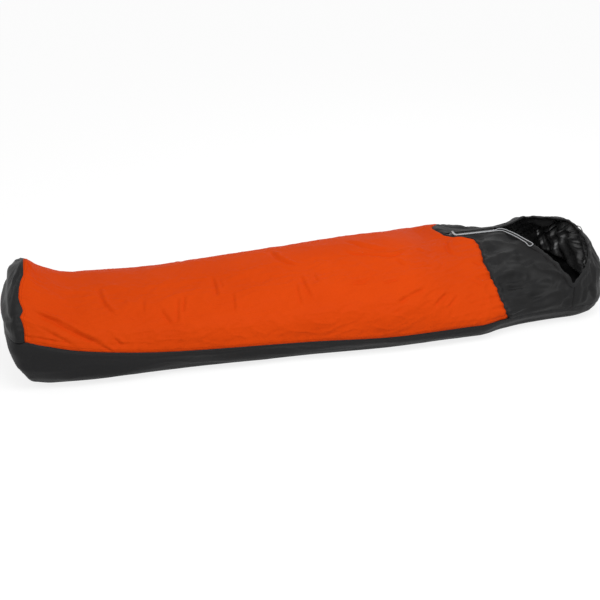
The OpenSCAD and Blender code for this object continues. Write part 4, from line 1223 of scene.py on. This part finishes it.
SIDE_ROWS, BACK_ROWS, LINING_COLUMNS = 91, 141, 121
LINING_INSET, RIM_INSET = 0.0075, 0.0026
LINING_HANG, LINING_LOOSE = 0.01557, 0.022
t = np.linspace(0, 1, LINING_COLUMNS)[None]
u = np.linspace(0.03, 1, SIDE_ROWS)[:, None]
turn = np.linspace(-90, 90, BACK_ROWS)[1:-1, None]
points = np.concatenate([collar_points(NEAR, u, t), crown_points(turn, t), collar_points(FAR, u, t)[::-1]])
round_middle = lengths(points, 0)[:, LINING_COLUMNS // 2, None]
lining = Panel(points, 1, chart_of(round_middle, points))
run, up = lining.chart[..., 0], lining.depths[HIGH]
hang = LINING_HANG + LINING_LOOSE * ease(up / 0.13)
hang += crumple(np.stack([run + 0.75 * up, up], -1), soft=[(0.0080, (0.13, 0.70), 71)],
                sharp=[(0.0045, (0.14, 0.60), 75), (0.0026, (0.055, 0.24), 78)])
hang += crumple(np.stack([run - 0.60 * up, up], -1), soft=[(0.0045, (0.085, 0.40), 73)],
                sharp=[(0.0030, (0.09, 0.28), 77), (0.0018, (0.045, 0.15), 79)])
lining.height -= mix(LINING_INSET, RIM_INSET, ease(1 - up / 0.02))
lining.height -= ease(up / 0.03) * lining.clear_of(LOW, FIRST, LAST, reach=0.03) * np.maximum(hang, 0)
lining.height[-SIDE_ROWS:] -= far_sink(points[-SIDE_ROWS:, :, 0], up[-SIDE_ROWS:])
lining_piece = lining.make("lining_shell", LINING_BLACK, (HIGH,), wall=LINING_WALL)
settle(lining_piece, "hood_lining")
declare_cut(points)

# The rim hem: a gathered channel over the top edges of shell and lining, round the face opening

HEM_POINTS, HEM_SIDES, HEM_BLUR = 520, 22, 12
HEM_HALF, HEM_TOP, HEM_SKIRT, HEM_UP, HEM_BACK = 0.0043, 0.0050, 0.0105, 0.0046, 0.0008
HEM_SWAY, HEM_GATHER, SKIRT_SLIM = 0.0016, 0.0008, 0.35
ELASTIC_UP, ELASTIC_SHORT = 0.004, 4
RIM_SIDE_POINTS, RIM_BACK_POINTS = 160, 240
rim_x = np.linspace(X_THROAT, X_CROWN, RIM_SIDE_POINTS)
rim_turn = np.linspace(-90, 90, RIM_BACK_POINTS)[1:-1]


def rim_edge(drop):
    """The rim's line round the face opening, or one a few degrees below it round the section."""
    near = side_point(NEAR, rim_x, rim_angle(rim_x, NEAR_DIP) - drop)
    back = crown_point(rim_turn, crown_rim(rim_turn) - drop)
    far = side_point(FAR, rim_x, rim_angle(rim_x, FAR_DIP) - drop)
    return np.concatenate([near, back, far[::-1]])


edge_line = rim_edge(0.0)
both = evenly(np.concatenate([edge_line, unit(edge_line - rim_edge(2.0))], 1), HEM_POINTS)
kernel = bell(np.arange(-HEM_BLUR, HEM_BLUR + 1), HEM_BLUR / 2)
kernel /= kernel.sum()
soft = np.stack([np.convolve(np.pad(column, HEM_BLUR, mode="reflect", reflect_type="odd"), kernel, "valid")
                 for column in both.T], -1)
line, rise = soft[:, :3], unit(soft[:, 3:])
heading = unit(np.gradient(line, axis=0))
out = unit(np.cross(heading, rise))
rise = np.cross(out, heading)
run = run_of(line)
run_place = np.stack([run, 0 * run], -1)
off_ends = ease((run - 0.16) / 0.06) * ease((run[-1] - run - 0.05) / 0.06)
sway = HEM_SWAY * off_ends * ripples(run_place, (0.055, 1.0), 83)
line = line + sway[:, None] * (out + 0.6 * rise)

# The hem's section: a round channel on top with a longer and slimmer skirt below it, gathered along the run

lap = 2 * np.pi * np.arange(HEM_SIDES) / HEM_SIDES
sine = np.sin(lap)[None]
gather = (ripples(run_place, (0.020, 1.0), 81) * ease((run - 0.09) / 0.06))[:, None]
slim = np.where(sine < 0, 1 - SKIRT_SLIM * np.abs(sine), 1)
hem_out = slim * (HEM_HALF * np.cos(lap)[None] * (1 + 0.10 * gather) - HEM_BACK)
hem_up = HEM_UP + np.where(sine > 0, HEM_TOP, HEM_SKIRT) * sine + HEM_GATHER * gather * np.maximum(sine, 0)
hem_points = line[:, None] + out[:, None] * hem_out[..., None] + rise[:, None] * hem_up[..., None]
hem_chart = np.stack(np.meshgrid(run, lap * 0.0055, indexing="ij"), -1)
hem_seam = np.stack(np.broadcast_arrays(run[:, None], np.abs(sine + 0.75) * HEM_SKIRT + 0.003), -1)
hem_piece = make_piece("rim_hem", hem_points, capped_faces(HEM_POINTS, HEM_SIDES), RIM_BLACK,
                       {"cloth": hem_chart, "seam": hem_seam})
settle(hem_piece, "rim_channel")
elastic_line = (line - HEM_BACK * out + ELASTIC_UP * rise)[ELASTIC_SHORT:-ELASTIC_SHORT:2]
elastic = make_tubes("drawcord_elastic", [elastic_line], DRAWCORD_D / 2, WIRE_SIDES, CORD_BLACK)
settle(elastic, "drawcord")
declare_cut(crown.points)

# The zip: tapes under the slit's edges, and two rows of teeth at an even gap, so that the slider passes

ROW_GAP, TAPE_FROM, TAPE_WIDTH = 0.0009, 0.0032, 0.015
TAPE_ROWS, TAPE_COLUMNS = 91, 13
TAPE_Z, TAPE_WAVE, WAVE_TURN = 0.2367, 0.0002, 260
TOOTH, TOOTH_ROOT, TOOTH_PITCH, STOP_LENGTH, STOP_GAP = 0.0017, 0.0002, 0.003, 0.004, 0.0003
tape_lengths = np.linspace(0, ZIP_LENGTH, TAPE_ROWS)
tape_widths = np.linspace(0, TAPE_WIDTH, TAPE_COLUMNS)
s, w = np.meshgrid(tape_lengths, tape_widths, indexing="ij")
wave = TAPE_WAVE * np.sin(s * WAVE_TURN) * w / TAPE_WIDTH
for side, node, carrier in [(NEAR, "zip_tape_near", "hood_near_panel"),
                            (FAR, "zip_tape_far", "hood_far_panel")]:
    points = np.stack([X_ZIP + s, THROAT[1] + side * (ROW_GAP + TAPE_FROM + w), TAPE_Z + wave], -1)
    tape = make_piece(node + "_strip", points, grid_faces(TAPE_ROWS, TAPE_COLUMNS), ZIP_TAPE,
                      {"cloth": np.stack([s, w], -1)}, flip=side == NEAR, wall=TAPE_WALL)
    settle(tape, node)
    declare_cut(points)

BLOCK_FACES = np.array([[3, 2, 1, 0], [4, 5, 6, 7], [0, 1, 5, 4], [1, 2, 6, 5], [2, 3, 7, 6], [3, 0, 4, 7]])
block_z = [corner[2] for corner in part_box("zip_teeth_near")]


def zip_blocks(name, parts, material, node):
    """Upright blocks of the teeth's height: each part is a side with outlines of length along its row and
    distance from it."""
    blocks = []
    for side, outlines in parts:
        flat = np.asarray(outlines, float)[:, ::side]
        x, y = X_ZIP + flat[..., 0], THROAT[1] + side * (ROW_GAP + flat[..., 1])
        blocks.append(np.stack([np.stack([x, y, z + 0 * x], -1) for z in block_z], 1))
    blocks = np.concatenate(blocks)
    faces = (8 * np.arange(len(blocks))[:, None, None] + BLOCK_FACES).reshape(-1, 4).tolist()
    piece = make_piece(name, blocks, faces, material)
    piece.data.shade_flat()
    settle(piece, node)


def block(start, end, near, far):
    """A rectangular outline from one length to another along the row, between two distances from it."""
    return [[start, near], [end, near], [end, far], [start, far]]


row_from, row_to = STOP_LENGTH + STOP_GAP, ZIP_LENGTH - STOP_LENGTH - STOP_GAP
tooth = np.array([[0, TOOTH + TOOTH_ROOT], [0.1, 0], [0.4, 0], [0.5, TOOTH + TOOTH_ROOT]]) * [TOOTH_PITCH, 1]
tooth_count = int((row_to - row_from) / TOOTH_PITCH) - 1
for side, phase, node in [(NEAR, 0.1, "zip_teeth_near"), (FAR, 0.6, "zip_teeth_far")]:
    at = row_from + (np.arange(tooth_count) + phase)[:, None] * TOOTH_PITCH
    teeth = np.stack([at + tooth[:, 0], 0 * at + tooth[:, 1]], -1)
    bead = block(row_from, row_to, TOOTH, TAPE_FROM)
    zip_blocks(node + "_row", [(side, np.concatenate([[bead], teeth]))], ZIP_TEETH, node)
stop = [block(ZIP_LENGTH - STOP_LENGTH, ZIP_LENGTH, 0, TAPE_FROM)]
zip_blocks("zip_top_stop_pair", [(NEAR, stop), (FAR, stop)], ZIP_METAL, "zip_top_stops")

# The floor, the light and the white ground

FLOOR_HALF, FLOOR_Z = 14, -0.0006
WHITE = (1, 1, 1, 1)


def seen(tree):
    """1 for rays from the camera, a mirror or glass, so that all of them show the white ground."""
    path = put(tree, "LightPath").outputs
    mirrored = calc(tree, "MAXIMUM", path["Is Glossy Ray"], path["Is Transmission Ray"])
    return calc(tree, "MAXIMUM", path["Is Camera Ray"], mirrored)


def softbox(name, place, aim, size, power):
    """A rectangular lamp that looks at a point."""
    lamp = bpy.data.lights.new(name, "AREA")
    lamp.shape = "RECTANGLE"
    lamp.size, lamp.size_y = size
    lamp.energy = power
    look(add_object(name, lamp), place, aim)


floor_mesh = bpy.data.meshes.new("studio_floor")
floor_corners = [(x * FLOOR_HALF, y * FLOOR_HALF, FLOOR_Z) for x, y in ((-1, -1), (1, -1), (1, 1), (-1, 1))]
floor_mesh.from_pydata(floor_corners, [], [(0, 1, 2, 3)])
add_object("studio_floor", floor_mesh)
floor_finish = bpy.data.materials.new("studio_floor")
floor_finish.use_nodes = True
tree = floor_finish.node_tree
tree.nodes.clear()
pale = put(tree, "BsdfDiffuse", {"Color": (0.30, 0.30, 0.30, 1)}).outputs[0]
glow = put(tree, "Emission", {"Color": WHITE, "Strength": 0.81}).outputs[0]
shown = put(tree, "AddShader", {0: pale, 1: glow}).outputs[0]
lit = put(tree, "BsdfDiffuse", {"Color": (0.8, 0.8, 0.8, 1)}).outputs[0]
ground = put(tree, "MixShader", {0: seen(tree), 1: lit, 2: shown}).outputs[0]
put(tree, "OutputMaterial", {"Surface": ground})
floor_mesh.materials.append(floor_finish)

world = bpy.data.worlds.new("studio")
scene.world = world
world.use_nodes = True
tree = world.node_tree
tree.nodes.clear()
soft_light = put(tree, "Background", {"Color": WHITE, "Strength": 0.52}).outputs[0]
white = put(tree, "Background", {"Color": WHITE, "Strength": 1.0}).outputs[0]
sky = put(tree, "MixShader", {0: seen(tree), 1: soft_light, 2: white}).outputs[0]
put(tree, "OutputWorld", {"Surface": sky})

softbox("key_light", place=(0.10, -1.2, 1.95), aim=(0.05, 0, 0.1), size=(1.7, 0.9), power=25.5)
softbox("rim_light", place=(1.4, 1.8, 1.8), aim=(0.4, 0, 0.15), size=(1.4, 0.6), power=3)
